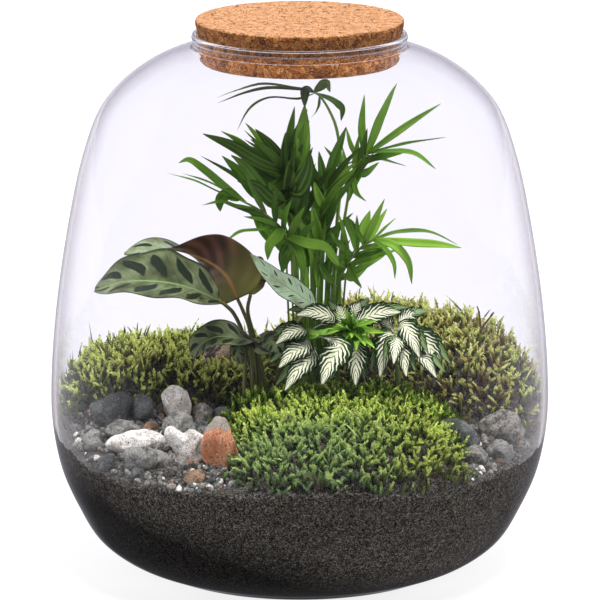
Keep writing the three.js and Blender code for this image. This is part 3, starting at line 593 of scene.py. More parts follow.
def surface(tree, colour, roughness, height=None, bump=0.3, through=None, share=0.0, **settings):
    """The end of a material: its surface with its bump, mixed with light that comes through."""
    sockets = {"Base Color": colour, "Roughness": roughness, **settings}
    normal = None
    if height is not None:
        normal = node(tree, "Bump", {"Height": height, "Strength": bump, "Distance": MM}).outputs[0]
        sockets["Normal"] = normal
    shader = node(tree, "BsdfPrincipled", sockets).outputs[0]
    if through is not None:
        glow = {"Color": through}
        if normal is not None:
            glow["Normal"] = normal
        lit = node(tree, "BsdfTranslucent", glow).outputs[0]
        shader = node(tree, "MixShader", {0: share, 1: shader, 2: lit}).outputs[0]
    node(tree, "OutputMaterial", {"Surface": shader})


# Settings of the node that multiplies a colour by a shade.
SHADED = {"data_type": "RGBA", "blend_type": "MULTIPLY"}


def glass_finish():
    """Blown soda-lime glass: clear and fire polished. Seen edge on it is lavender grey, partly its tint and
    partly painted shade, with a painted reflection of the soil and moss in brown beside them; its thick
    base is painted dark olive, partly its tint and partly painted shade. The IOR is low, because the
    studio in front of the real jar was dark."""
    made, tree, place = material("blown_soda_lime_glass")
    facing = node(tree, "LayerWeight", {"Blend": 0.5}).outputs["Facing"]
    # Painted shade: lavender grey where the glass is seen edge on.
    rim = node(tree, "MapRange", {0: facing, 1: 0.66, 2: 0.9, 4: 0.9}).outputs[0]
    height = node(tree, "SeparateXYZ", {0: place}).outputs[2]
    # Painted reflection: the edge tint turns brown beside the soil and moss.
    planted = node(tree, "MapRange", {0: height, 1: 0.14, 2: 0.1}).outputs[0]
    edge = {0: planted, 6: linear("#b3a9b3"), 7: linear("#6b574f")}
    edge = node(tree, "Mix", edge, data_type="RGBA").outputs[2]
    colour = node(tree, "Mix", {0: rim, 6: linear("#f4f3f7"), 7: edge}, data_type="RGBA").outputs[2]
    # Painted shade: the thick base is darkened to olive.
    base = node(tree, "MapRange", {0: height, 1: 0.0095, 2: 0.006}).outputs[0]
    colour = node(tree, "Mix", {0: base, 6: colour, 7: linear("#3d3f22")}, data_type="RGBA").outputs[2]
    surface(tree, colour, 0.0, **{"Transmission Weight": 1.0, "IOR": 1.22})
    return made


def lip_finish():
    """The rolled lip: thicker glass that bends the light more, with two painted white highlights, one
    along its upper and one along its lower side, where it is less clear."""
    made, tree, place = material("rolled_glass_lip")
    way = node(tree, "NewGeometry").outputs["Normal"]
    up = node(tree, "SeparateXYZ", {0: way}).outputs[2]
    # Painted highlights: white lines where the normal's height is near 0.5 and near -0.55.
    lines = []
    for middle in (0.5, -0.55):
        away = node(tree, "Math", {0: up, 1: middle}, operation="SUBTRACT").outputs[0]
        away = node(tree, "Math", {0: away}, operation="ABSOLUTE").outputs[0]
        lines.append(node(tree, "MapRange", {0: away, 1: 0.02, 2: 0.13, 3: 0.42, 4: 0.0}).outputs[0])
    line = node(tree, "Math", {0: lines[0], 1: lines[1]}, operation="MAXIMUM").outputs[0]
    clear = node(tree, "Math", {0: 1.0, 1: line}, operation="SUBTRACT").outputs[0]
    surface(tree, linear("#eeedf2"), 0.05, **{"Transmission Weight": clear, "IOR": 1.38})
    return made


def cork_finish():
    """Pressed cork: 3 to 5 mm granules from straw to dark brown with dark cracks and fine pores; the
    flat top is sanded and lighter than the side, and the part inside the neck is painted lighter, to make up
    for the shade that falls there."""
    made, tree, place = material("pressed_cork")
    grains = node(tree, "TexVoronoi", {"Vector": place, "Scale": 330.0})
    edges = node(tree, "TexVoronoi", {"Vector": place, "Scale": 330.0}, feature="DISTANCE_TO_EDGE")
    fine = node(tree, "TexNoise", {"Vector": place, "Scale": 1400.0, "Detail": 4.0}).outputs[0]
    pores = node(tree, "TexVoronoi", {"Vector": place, "Scale": 700.0})
    tone = node(tree, "SeparateColor", {0: grains.outputs["Color"]}).outputs[0]
    tone = node(tree, "Math", {0: tone, 1: 0.42}, operation="MULTIPLY").outputs[0]
    tone = node(tree, "Math", {0: fine, 1: 0.85, 2: tone}, operation="MULTIPLY_ADD").outputs[0]
    side = [(0.35, "#4c2a15"), (0.52, "#7b4a25"), (0.72, "#9a6233"), (0.95, "#b57d45")]
    side = node(tree, "ValToRGB", {0: tone}, side).outputs[0]
    top = [(0.35, "#a8744c"), (0.55, "#c08b60"), (0.95, "#cf9c70")]
    top = node(tree, "ValToRGB", {0: tone}, top).outputs[0]
    height = node(tree, "SeparateXYZ", {0: place}).outputs[2]
    up = node(tree, "MapRange", {0: height, 1: 0.3085, 2: 0.3093}).outputs[0]
    # Painted light: the part inside the neck is brightened against its shade.
    pressed = node(tree, "MapRange", {0: height, 1: 0.2955, 2: 0.298, 3: 1.9, 4: 1.0}).outputs[0]
    colour = node(tree, "Mix", {0: up, 6: side, 7: top}, data_type="RGBA").outputs[2]
    crack = node(tree, "MapRange", {0: edges.outputs[0], 1: 0.02, 2: 0.1, 3: 1.0, 4: 0.0}).outputs[0]
    open_part = node(tree, "TexNoise", {"Vector": place, "Scale": 240.0, "Detail": 3.0}).outputs[0]
    open_part = node(tree, "MapRange", {0: open_part, 1: 0.46, 2: 0.6, 3: 0.15, 4: 0.95}).outputs[0]
    crack = node(tree, "Math", {0: crack, 1: open_part}, operation="MULTIPLY").outputs[0]
    hole = node(tree, "MapRange", {0: pores.outputs[0], 1: 0.16, 2: 0.26, 3: 0.75, 4: 0.0}).outputs[0]
    dark = node(tree, "Math", {0: crack, 1: hole}, operation="MAXIMUM").outputs[0]
    colour = node(tree, "Mix", {0: dark, 6: colour, 7: linear("#40240f")}, data_type="RGBA").outputs[2]
    speck = node(tree, "MapRange", {0: fine, 1: 0.3, 2: 0.7, 3: 0.52, 4: 1.28}).outputs[0]
    colour = node(tree, "Mix", {0: 1.0, 6: colour, 7: speck}, **SHADED).outputs[2]
    colour = node(tree, "Mix", {0: 1.0, 6: colour, 7: pressed}, **SHADED).outputs[2]
    relief = node(tree, "Math", {0: fine, 1: dark}, operation="SUBTRACT").outputs[0]
    surface(tree, colour, 0.85, relief, 0.5)
    return made


def soil_finish():
    """Damp potting soil with mineral grit: grey black crumbs of 0.5 mm with grey and a few pale specks.
    Towards the bottom it is darker, and the dark part reaches higher at the left."""
    made, tree, place = material("damp_potting_soil")
    crumbs = node(tree, "TexVoronoi", {"Vector": place, "Scale": 1900.0})
    grit = node(tree, "TexVoronoi", {"Vector": place, "Scale": 1100.0})
    patches = node(tree, "TexNoise", {"Vector": place, "Scale": 420.0, "Detail": 6.0, "Roughness": 0.75})
    tone = node(tree, "SeparateColor", {0: crumbs.outputs["Color"]}).outputs[0]
    base = [(0, "#0b0a08"), (0.4, "#272420"), (0.75, "#484540"), (1, "#66625a")]
    base = node(tree, "ValToRGB", {0: tone}, base).outputs[0]
    pale = node(tree, "SeparateColor", {0: grit.outputs["Color"]}).outputs[1]
    speck = node(tree, "MapRange", {0: pale, 1: 0.965, 2: 0.985, 4: 0.45}).outputs[0]
    colour = node(tree, "Mix", {0: speck, 6: base, 7: linear("#7f7a70")}, data_type="RGBA").outputs[2]
    shade = node(tree, "MapRange", {0: patches.outputs[0], 1: 0.35, 2: 0.65, 3: 0.5, 4: 1.5}).outputs[0]
    x, _, z = node(tree, "SeparateXYZ", {0: place}).outputs
    # Darker towards the bottom, reaching higher at the left.
    dark_level = node(tree, "Math", {0: x, 1: 0.3, 2: z}, operation="MULTIPLY_ADD").outputs[0]
    wave = node(tree, "TexNoise", {"Vector": place, "Scale": 22.0, "Detail": 2.0}).outputs[0]
    dark_level = node(tree, "Math", {0: wave, 1: 0.02, 2: dark_level}, operation="MULTIPLY_ADD").outputs[0]
    darker_below = node(tree, "MapRange", {0: dark_level, 1: 0.026, 2: 0.052, 3: 0.17, 4: 1.16}).outputs[0]
    shade = node(tree, "Math", {0: shade, 1: darker_below}, operation="MULTIPLY").outputs[0]
    colour = node(tree, "Mix", {0: 1.0, 6: colour, 7: shade}, **SHADED).outputs[2]
    relief = node(tree, "MapRange", {0: crumbs.outputs[0], 3: 1.0, 4: 0.0}).outputs[0]
    surface(tree, colour, 0.9, relief, 0.35, **{"Specular IOR Level": 0.1})
    return made


def moss_finish(name, low, middle, high, brown, aged=0.5, painted_haze=0.0):
    """Living moss: each shoot dark at its foot and bright at its tip, partly its own colour and partly
    painted shade, with brown patches of old growth that are larger where aged is lower. The shoots by the
    front glass have a share of painted grey green haze, the glare of the glass, at the left and are worn brown
    at the right."""
    made, tree, place = material(name)
    # The tip value holds each shoot's tone from foot to tip times its painted shade.
    tip = node(tree, "Attribute", attribute_name="tip").outputs["Fac"]
    tone = node(tree, "Attribute", attribute_name="tone").outputs["Fac"]
    patches = node(tree, "TexNoise", {"Vector": place, "Scale": 85.0, "Detail": 4.0}).outputs[0]
    fine = node(tree, "TexNoise", {"Vector": place, "Scale": 900.0, "Detail": 2.0}).outputs[0]
    level = node(tree, "Math", {0: tone, 1: 0.3, 2: tip}, operation="MULTIPLY_ADD").outputs[0]
    level = node(tree, "Math", {0: fine, 1: 0.5, 2: level}, operation="MULTIPLY_ADD").outputs[0]
    green = node(tree, "ValToRGB", {0: level}, stops=[(0.45, low), (0.79, middle), (1, high)]).outputs[0]
    x, y, _ = node(tree, "SeparateXYZ", {0: place}).outputs
    # Painted haze: grey green glare of the front glass over the lit tips at the left.
    front = node(tree, "MapRange", {0: y, 1: -0.06, 2: -0.1, 4: painted_haze}).outputs[0]
    right = node(tree, "MapRange", {0: x, 1: 0.02, 2: 0.07}).outputs[0]
    worn = node(tree, "Math", {0: front, 1: right}, operation="MULTIPLY").outputs[0]
    old = node(tree, "MapRange", {0: patches, 1: aged, 2: aged + 0.16, 3: 0.0, 4: 0.75}).outputs[0]
    old = node(tree, "Math", {0: old, 1: worn}, operation="MAXIMUM").outputs[0]
    low_share = node(tree, "Math", {0: 1.15, 1: tip}, operation="SUBTRACT").outputs[0]
    share = node(tree, "Math", {0: old, 1: low_share}, operation="MULTIPLY", use_clamp=True).outputs[0]
    colour = node(tree, "Mix", {0: share, 6: green, 7: linear(brown)}, data_type="RGBA").outputs[2]
    front = node(tree, "Math", {0: front, 1: worn}, operation="SUBTRACT").outputs[0]
    lit = node(tree, "Math", {0: tip, 1: 1.6}, operation="MULTIPLY", use_clamp=True).outputs[0]
    front = node(tree, "Math", {0: front, 1: lit}, operation="MULTIPLY").outputs[0]
    colour = node(tree, "Mix", {0: front, 6: colour, 7: linear("#93b088")}, data_type="RGBA").outputs[2]
    surface(tree, colour, 0.7, through=colour, share=0.3)
    return made


def stone_finish(name, base, second, speck, patches, top=None):
    """A rough pebble: two tones in cloudy patches, sandy grain of 0.5 mm, 1 mm specks and dark pits, and
    on some a top of another colour."""
    made, tree, place = material(name)
    cloud = {"Vector": place, "Scale": patches, "Detail": 9.0, "Roughness": 0.7}
    cloud = node(tree, "TexNoise", cloud).outputs[0]
    fine = {"Vector": place, "Scale": 800.0, "Detail": 4.0, "Roughness": 0.7}
    fine = node(tree, "TexNoise", fine).outputs[0]
    part = node(tree, "MapRange", {0: cloud, 1: 0.47, 2: 0.57}).outputs[0]
    colour = node(tree, "Mix", {0: part, 6: linear(base), 7: linear(second)}, data_type="RGBA").outputs[2]
    if top:
        way = node(tree, "NewGeometry").outputs["Normal"]
        up = node(tree, "SeparateXYZ", {0: way}).outputs[2]
        cap = node(tree, "Math", {0: cloud, 1: 0.8, 2: up}, operation="MULTIPLY_ADD").outputs[0]
        cap = node(tree, "MapRange", {0: cap, 1: 0.75, 2: 0.95}).outputs[0]
        colour = node(tree, "Mix", {0: cap, 6: colour, 7: linear(top)}, data_type="RGBA").outputs[2]
    sand = node(tree, "TexNoise", {"Vector": place, "Scale": 1900.0, "Detail": 2.0}).outputs[0]
    sand = node(tree, "MapRange", {0: sand, 1: 0.35, 2: 0.65, 3: 0.6, 4: 1.35}).outputs[0]
    colour = node(tree, "Mix", {0: 1.0, 6: colour, 7: sand}, **SHADED).outputs[2]
    dots = node(tree, "MapRange", {0: fine, 1: 0.58, 2: 0.66, 4: 0.6}).outputs[0]
    colour = node(tree, "Mix", {0: dots, 6: colour, 7: linear(speck)}, data_type="RGBA").outputs[2]
    pits = node(tree, "MapRange", {0: fine, 1: 0.44, 2: 0.37, 4: 0.8}).outputs[0]
    colour = node(tree, "Mix", {0: pits, 6: colour, 7: linear("#2a2724")}, data_type="RGBA").outputs[2]
    relief = node(tree, "Math", {0: fine, 1: 1.2, 2: cloud}, operation="MULTIPLY_ADD").outputs[0]
    surface(tree, colour, 0.75, relief, 1.0)
    return made


def palm_finish():
    """Palm leaflet: satin, from dark to mid green with fine lengthwise veins, a few of them pale, a pale
    fold along the middle and a dry tip; the light comes through yellow-green."""
    made, tree, place = material("palm_leaflet")
    down = node(tree, "Attribute", attribute_name="along").outputs["Fac"]
    across = node(tree, "Attribute", attribute_name="across").outputs["Fac"]
    tone = node(tree, "Attribute", attribute_name="tone").outputs["Fac"]
    cloud = node(tree, "TexNoise", {"Vector": place, "Scale": 70.0, "Detail": 3.0}).outputs[0]
    level = node(tree, "Math", {0: cloud, 1: 0.45, 2: tone}, operation="MULTIPLY_ADD").outputs[0]
    green = [(0.1, "#1a2d0c"), (0.45, "#385e13"), (0.8, "#669a2a"), (1, "#95c546")]
    green = node(tree, "ValToRGB", {0: level}, green).outputs[0]
    lines = node(tree, "Math", {0: across, 1: 26.0}, operation="MULTIPLY").outputs[0]
    lines = node(tree, "Math", {0: lines}, operation="SINE").outputs[0]
    pale = node(tree, "Math", {0: across, 1: 9.0, 2: cloud}, operation="MULTIPLY_ADD").outputs[0]
    pale = node(tree, "Math", {0: pale}, operation="SINE").outputs[0]
    pale = node(tree, "MapRange", {0: pale, 1: 0.1, 2: 1.0, 3: 0.0, 4: 0.3}).outputs[0]
    rib = node(tree, "Math", {0: across}, operation="ABSOLUTE").outputs[0]
    rib = node(tree, "MapRange", {0: rib, 1: 0.0, 2: 0.12, 3: 0.35, 4: 0.0}).outputs[0]
    rib = node(tree, "Math", {0: rib, 1: pale}, operation="MAXIMUM").outputs[0]
    colour = node(tree, "Mix", {0: rib, 6: green, 7: linear("#9dbd5c")}, data_type="RGBA").outputs[2]
    dry = node(tree, "MapRange", {0: down, 1: 0.93, 2: 1.0, 4: 0.7}).outputs[0]
    colour = node(tree, "Mix", {0: dry, 6: colour, 7: linear("#4a3a1c")}, data_type="RGBA").outputs[2]
    through = node(tree, "Mix", {0: 0.55, 6: colour, 7: linear("#a5d447")}, data_type="RGBA").outputs[2]
    surface(tree, colour, 0.38, lines, 0.12, through, 0.38)
    return made


def stalk_finish(name, base, second):
    """Fleshy stem: smooth and satin, streaked lengthwise in two tones."""
    made, tree, place = material(name)
    across = node(tree, "Attribute", attribute_name="across").outputs["Fac"]
    down = node(tree, "Attribute", attribute_name="along").outputs["Fac"]
    streak = node(tree, "CombineXYZ", {0: across, 1: down}).outputs[0]
    streak = node(tree, "TexNoise", {"Vector": streak, "Scale": 3.0, "Detail": 4.0}).outputs[0]
    part = node(tree, "MapRange", {0: streak, 1: 0.42, 2: 0.6}).outputs[0]
    colour = node(tree, "Mix", {0: part, 6: linear(base), 7: linear(second)}, data_type="RGBA").outputs[2]
    surface(tree, colour, 0.42, streak, 0.2)
    return made


def calathea_finish():
    """Prayer plant leaf, upper side: grey green, silvery on the young leaf, with dark bars like lenses
    that lie along the side veins, a fine dark line between them, a pale midrib and a dark edge."""
    made, tree, place = material("prayer_plant_leaf_upper")
    down = node(tree, "Attribute", attribute_name="along").outputs["Fac"]
    across = node(tree, "Attribute", attribute_name="across").outputs["Fac"]
    tone = node(tree, "Attribute", attribute_name="tone").outputs["Fac"]
    out = node(tree, "Math", {0: across}, operation="ABSOLUTE").outputs[0]
    cloud = node(tree, "TexNoise", {"Vector": place, "Scale": 90.0, "Detail": 4.0}).outputs[0]
    right = node(tree, "Math", {0: across, 1: 0.0}, operation="GREATER_THAN").outputs[0]
    shift = node(tree, "Math", {0: right, 1: 0.5}, operation="MULTIPLY").outputs[0]
    slant = node(tree, "Math", {0: out, 1: -1.1, 2: shift}, operation="MULTIPLY_ADD").outputs[0]
    pairs = node(tree, "Math", {0: down, 1: 5.5, 2: slant}, operation="MULTIPLY_ADD").outputs[0]
    wobble = node(tree, "Math", {0: cloud, 1: 0.6, 2: pairs}, operation="MULTIPLY_ADD").outputs[0]
    turn = node(tree, "Math", {0: wobble}, operation="FRACT").outputs[0]
    turn = node(tree, "Math", {0: turn, 1: 0.5}, operation="SUBTRACT").outputs[0]
    turn = node(tree, "Math", {0: turn}, operation="ABSOLUTE").outputs[0]
    reach = node(tree, "MapRange", {0: out, 1: 0.14, 2: 0.86, 3: -1.0, 4: 1.0}, clamp=False).outputs[0]
    reach = node(tree, "Math", {0: reach, 1: reach}, operation="MULTIPLY").outputs[0]
    broad = node(tree, "MapRange", {0: tone, 3: 0.28, 4: 0.1}).outputs[0]
    width = node(tree, "Math", {0: reach, 1: -0.28, 2: broad}, operation="MULTIPLY_ADD").outputs[0]
    bar = node(tree, "Math", {0: width, 1: turn}, operation="SUBTRACT").outputs[0]
    bar = node(tree, "MapRange", {0: bar, 1: -0.02, 2: 0.03}).outputs[0]
    level = node(tree, "Math", {0: tone, 1: 0.4, 2: cloud}, operation="MULTIPLY_ADD").outputs[0]
    base = [(0.3, "#363d27"), (0.5, "#5e6946"), (0.7, "#838f68"), (0.95, "#b6d0aa")]
    base = node(tree, "ValToRGB", {0: level}, base).outputs[0]
    lines = node(tree, "MapRange", {0: turn, 1: 0.455, 2: 0.495, 4: 0.4}).outputs[0]
    dark = node(tree, "Math", {0: bar, 1: lines}, operation="MAXIMUM").outputs[0]
    colour = node(tree, "Mix", {0: dark, 6: base, 7: linear("#222e20")}, data_type="RGBA").outputs[2]
    edge = node(tree, "MapRange", {0: out, 1: 0.9, 2: 0.97}).outputs[0]
    colour = node(tree, "Mix", {0: edge, 6: colour, 7: linear("#2c3826")}, data_type="RGBA").outputs[2]
    rib = node(tree, "MapRange", {0: out, 1: 0.015, 2: 0.04, 3: 1.0, 4: 0.0}).outputs[0]
    colour = node(tree, "Mix", {0: rib, 6: colour, 7: linear("#7f9a66")}, data_type="RGBA").outputs[2]
    veins = node(tree, "Math", {0: wobble, 1: 25.0}, operation="MULTIPLY").outputs[0]
    veins = node(tree, "Math", {0: veins}, operation="SINE").outputs[0]
    surface(tree, colour, 0.4, veins, 0.15, colour, 0.15)
    return made


def calathea_under_finish():
    """Prayer plant leaf, lower side: purple brown with darker bars, a tan midrib, green near its foot."""
    made, tree, place = material("prayer_plant_leaf_under")
    down = node(tree, "Attribute", attribute_name="along").outputs["Fac"]
    across = node(tree, "Attribute", attribute_name="across").outputs["Fac"]
    out = node(tree, "Math", {0: across}, operation="ABSOLUTE").outputs[0]
    cloud = node(tree, "TexNoise", {"Vector": place, "Scale": 60.0, "Detail": 4.0}).outputs[0]
    slant = node(tree, "Math", {0: out, 1: -1.5}, operation="MULTIPLY").outputs[0]
    veins = node(tree, "Math", {0: down, 1: 9.0, 2: slant}, operation="MULTIPLY_ADD").outputs[0]
    veins = node(tree, "Math", {0: veins, 1: 6.283}, operation="MULTIPLY").outputs[0]
    veins = node(tree, "Math", {0: veins}, operation="SINE").outputs[0]
    level = node(tree, "Math", {0: veins, 1: 0.18, 2: cloud}, operation="MULTIPLY_ADD").outputs[0]
    base = [(0.25, "#35201a"), (0.5, "#573628"), (0.8, "#7a5040")]
    base = node(tree, "ValToRGB", {0: level}, base).outputs[0]
    green = node(tree, "MapRange", {0: down, 1: 0.05, 2: 0.32, 3: 0.85, 4: 0.0}).outputs[0]
    colour = node(tree, "Mix", {0: green, 6: base, 7: linear("#7f8434")}, data_type="RGBA").outputs[2]
    rib = node(tree, "MapRange", {0: out, 1: 0.03, 2: 0.07, 3: 1.0, 4: 0.0}).outputs[0]
    colour = node(tree, "Mix", {0: rib, 6: colour, 7: linear("#b98446")}, data_type="RGBA").outputs[2]
    surface(tree, colour, 0.45, veins, 0.2, linear("#7d6a3a"), 0.12)
    return made


def fittonia_finish(name, ground, vein):
    """Nerve plant leaf: feathered cream veins over green, widest by the midrib, with a green edge."""
    made, tree, place = material(name)
    down = node(tree, "Attribute", attribute_name="along").outputs["Fac"]
    across = node(tree, "Attribute", attribute_name="across").outputs["Fac"]
    out = node(tree, "Math", {0: across}, operation="ABSOLUTE").outputs[0]
    net = node(tree, "TexVoronoi", {"Vector": place, "Scale": 520.0}, feature="DISTANCE_TO_EDGE").outputs[0]
    net = node(tree, "MapRange", {0: net, 1: 0.03, 2: 0.12, 3: 0.24, 4: 0.0}).outputs[0]
    sway = node(tree, "TexNoise", {"Vector": place, "Scale": 300.0, "Detail": 3.0}).outputs[0]
    sway = node(tree, "Math", {0: sway, 1: 0.9}, operation="MULTIPLY").outputs[0]
    slant = node(tree, "Math", {0: out, 1: -3.0, 2: sway}, operation="MULTIPLY_ADD").outputs[0]
    veins = node(tree, "Math", {0: down, 1: 10.0, 2: slant}, operation="MULTIPLY_ADD").outputs[0]
    veins = node(tree, "Math", {0: veins}, operation="FRACT").outputs[0]
    veins = node(tree, "Math", {0: veins, 1: 0.5}, operation="SUBTRACT").outputs[0]
    veins = node(tree, "Math", {0: veins}, operation="ABSOLUTE").outputs[0]
    reach = node(tree, "MapRange", {0: out, 1: 0.1, 2: 0.78, 3: 0.41, 4: 0.1}).outputs[0]
    cream = node(tree, "Math", {0: reach, 1: veins}, operation="SUBTRACT").outputs[0]
    cream = node(tree, "MapRange", {0: cream, 1: -0.03, 2: 0.06}).outputs[0]
    cream = node(tree, "Math", {0: cream, 1: net}, operation="ADD", use_clamp=True).outputs[0]
    share = node(tree, "MapRange", {0: cream, 1: 0.2, 2: 0.8}).outputs[0]
    edge = node(tree, "MapRange", {0: out, 1: 0.75, 2: 0.88, 3: 1.0, 4: 0.0}).outputs[0]
    share = node(tree, "Math", {0: share, 1: edge}, operation="MULTIPLY").outputs[0]
    colour = node(tree, "Mix", {0: share, 6: linear(ground), 7: linear(vein)}, data_type="RGBA").outputs[2]
    surface(tree, colour, 0.45, cream, -0.3, colour, 0.2)
    return made


def bark_finish():
    """Dry twig: dark brown bark with fine ridges."""
    made, tree, place = material("dry_bark")
    ridges = node(tree, "TexNoise", {"Vector": place, "Scale": 800.0, "Detail": 4.0}).outputs[0]
    colour = node(tree, "ValToRGB", {0: ridges}, stops=[(0.3, "#2e2117"), (0.7, "#6a5038")]).outputs[0]
    surface(tree, colour, 0.85, ridges, 0.6)
    return made


# Glass jar: a smooth wall with a rounded heel, a short neck and a rolled lip, which is an oval 3.4 mm
# wide and 4.4 mm high.
LIP_FOOT = 294  # height at which the lip begins
outer = wall_profile(0.0)
lip_turn = np.linspace(-1.2, 3.0, 32)
lip = np.stack([58.3 + 1.7 * np.cos(lip_turn), 299.4 + 2.2 * np.sin(lip_turn)], -1)
neck = [[60.4, 293.36], [59.6, 293.65], [59.15, 294.0], [59.0, 294.6]]
inside_neck = [[56.95, 297.5], [56.95, 292.9], [57.1, 292.2], [57.6, 291.7]]
inner = INSIDE[(INSIDE[:, 1] > FLOOR + 1.2) & (INSIDE[:, 1] < 291.2)][::-1]
floor_turn = np.linspace(0.15, 1.0, 6)[:, None]
corner = inner[-1] * (1 - floor_turn) + np.array([86.0, FLOOR]) * floor_turn
jar_profile = np.vstack([[0, 0], outer[:-1], neck, lip, inside_neck, inner, corner, [0, FLOOR]])
points, faces = turned(jar_profile, 192)
on_lip = (points[faces, 2].mean(1) > LIP_FOOT).astype(int)
jar = piece("jar", points, faces, [glass_finish(), lip_finish()], ["glass_jar"], numbers=on_lip)
# The lamps light the plants through the glass, which casts no shadow of its own.
jar.visible_shadow = False
jar.visible_diffuse = False


def cork_ripple(radius, height, angle):
    """Shallow pits: the radius and the top move by a sum of sines of angle and height."""
    pit = np.sin(37 * angle + 1.9 * height) * np.sin(23 * angle - 1.3 * height + 1)
    pit = pit + 0.7 * np.sin(61 * angle + 0.9 * height + 2) * np.sin(1.7 * height + 3 * np.sin(11 * angle))
    radius = radius - 0.28 * np.maximum(pit, 0) * (radius > 50)
    height = height - 0.12 * np.maximum(pit, 0) * (height > CORK_TOP - 0.5)
    return radius, height


# Cork stopper: a tapered disc of granules with a pitted side and top.
side = [[54.2, CORK_FOOT, 0], [55.3, 286, 0], [56.2, 298.6, 0], [57.9, 308.4, 0], [57.2, CORK_TOP, 0]]
side = along(side, np.linspace(0, 1, 30))[:, :2]
top = np.stack([np.linspace(56.6, 2, 24), np.full(24, CORK_TOP)], -1)
bottom = np.stack([np.linspace(2, 53, 10), np.full(10, CORK_FOOT)], -1)
points, faces = turned(np.vstack([[0, CORK_FOOT], bottom, side, top, [0, CORK_TOP]]), 300, cork_ripple)
piece("cork", points, faces, [cork_finish()], ["cork_stopper"])

# Soil: it fills the jar to its uneven top. It is wet and touches the glass, so it is drawn 0.3 mm into
# the wall: no film of air shines between the two.
IN_WALL = 0.3
sides = 540
soil_angle = np.linspace(0, 2 * np.pi, sides, endpoint=False)
wall = wall_profile(GLASS - IN_WALL, 200)
start = np.searchsorted(wall[:, 1], FLOOR + 0.8)
rim_r = np.full(sides, BED)
for _ in range(6):
    rim_z = soil_top(rim_r * np.cos(soil_angle), rim_r * np.sin(soil_angle))
    rim_r = np.interp(rim_z, wall[:, 1], wall[:, 0])
grain = np.random.default_rng(4)
# Crumbs stick to the glass above the bed in some places, and it sinks away from the glass in others.
stuck = np.sin(9 * soil_angle + 1) + 0.8 * np.sin(23 * soil_angle + 2) + 0.6 * np.sin(57 * soil_angle)
in_front = np.exp(-(((soil_angle - 1.6 * np.pi) / 0.5) ** 2))
rim_z = rim_z + (1.1 + 1.5 * in_front) * stuck - 1.5 * in_front + grain.uniform(-0.8, 0.8, sides)
rim_r = np.interp(rim_z, wall[:, 1], wall[:, 0])
share = np.linspace(0, 1, 44)[:, None]
side_z = wall[start, 1] + (rim_z - wall[start, 1]) * share
side_r = np.interp(side_z, wall[:, 1], wall[:, 0])
inward = np.linspace(0.985, 0.02, 76)[:, None]
top_r = rim_r * inward
top_x, top_y = top_r * np.cos(soil_angle), top_r * np.sin(soil_angle)
top_z = soil_top(top_x, top_y) + 0.9 * (grain.random(top_r.shape) - 0.5)
under_r = np.linspace(0.05, 0.98, 12)[:, None] * side_r[0]
under_z = np.full(under_r.shape, FLOOR - IN_WALL)
radius = np.vstack([under_r, side_r, top_r])
height = np.vstack([under_z, side_z, top_z])
body = np.stack([radius * np.cos(soil_angle), radius * np.sin(soil_angle), height], -1).reshape(-1, 3)
points = np.vstack([body, [[0, 0, FLOOR - IN_WALL], [0, 0, float(soil_top(0, 0))]]])
soil_look = soil_finish()
piece("soil_bed", points, closed_grid(len(radius), sides), [soil_look], ["soil"])

# Stones: each a rough ball cut by planes, dented, stretched, turned and set in its pocket.
ROCKS = {
    "quartz": stone_finish("milky_quartz_pebble", "#f0ede6", "#c9c2b5", "#9a9184", 120.0),
    "limestone": stone_finish("grey_limestone_pebble", "#8d8d86", "#5d5d59", "#c8c4b8", 110.0),
    "slate": stone_finish("dark_slate_pebble", "#454745", "#686b69", "#9c9e9a", 90.0),
    "granite": stone_finish("speckled_granite_pebble", "#8c8880", "#4c4945", "#d8d3c9", 190.0),
    "brick": stone_finish("terracotta_stone", "#e2a27a", "#cb8258", "#6d4a38", 100.0, "#a39c90"),
    "tan": stone_finish("tan_sandstone_pebble", "#9c8068", "#6c5646", "#4a3b30", 150.0),
    "gneiss": stone_finish("banded_gneiss_pebble", "#b9a48c", "#3d3833", "#b07a4a", 90.0),
}
# The rock of each stone, in the order of the table.
KINDS = ["slate", "slate", "quartz", "granite", "limestone", "tan", "quartz", "limestone", "quartz", "brick",
         "slate", "limestone", "granite", "limestone", "slate", "tan", "slate", "gneiss", "slate", "granite",
         "limestone", "granite"]


def ball(rows, columns):
    """Directions over a sphere on a grid, closed at its poles, with its faces."""
    polar = np.linspace(0, np.pi, rows + 1)[1:-1]
    turn = np.linspace(0, 2 * np.pi, columns, endpoint=False)
    ring = np.stack([
        np.sin(polar)[:, None] * np.cos(turn), np.sin(polar)[:, None] * np.sin(turn),
        -np.cos(polar)[:, None] + 0 * turn,
    ], -1).reshape(-1, 3)
    return np.vstack([ring, [[0, 0, -1], [0, 0, 1]]]), closed_grid(rows - 1, columns)


def turn_by(tilt, lean, turn):
    """The turn about z, then y, then x, as a matrix."""
    (cx, cy, cz), (sx, sy, sz) = np.cos([tilt, lean, turn]), np.sin([tilt, lean, turn])
    about_x = np.array([[1, 0, 0], [0, cx, -sx], [0, sx, cx]])
    about_y = np.array([[cy, 0, sy], [0, 1, 0], [-sy, 0, cy]])
    about_z = np.array([[cz, -sz, 0], [sz, cz, 0], [0, 0, 1]])
    return about_x @ about_y @ about_z


def rough_ball(seed, rows, columns, planes=11):
    """A ball cut by planes at different depths, its edges rounded by a power mean of the cuts, with
    bumps that are sums of sines, coarse and fine."""
    way, faces = ball(rows, columns)
    chance = np.random.default_rng(seed)
    sides = unit(chance.normal(size=(planes, 3)))
    depth = chance.uniform(0.8, 1.12, planes)
    sharp = 12.0
    cut = np.maximum(way @ sides.T / depth, 0.05) ** sharp
    radius = np.clip(np.sum(cut, 1) ** (-1 / sharp), 0.7, 1.16)
    bumps = np.sin(way @ chance.normal(size=(3, 5)) * 6 + chance.uniform(0, 6, 5)).sum(1)
    pits = np.sin(way @ chance.normal(size=(3, 9)) * 17 + chance.uniform(0, 6, 9)).sum(1)
    return way, radius * (1 + 0.014 * bumps + 0.0035 * pits), faces


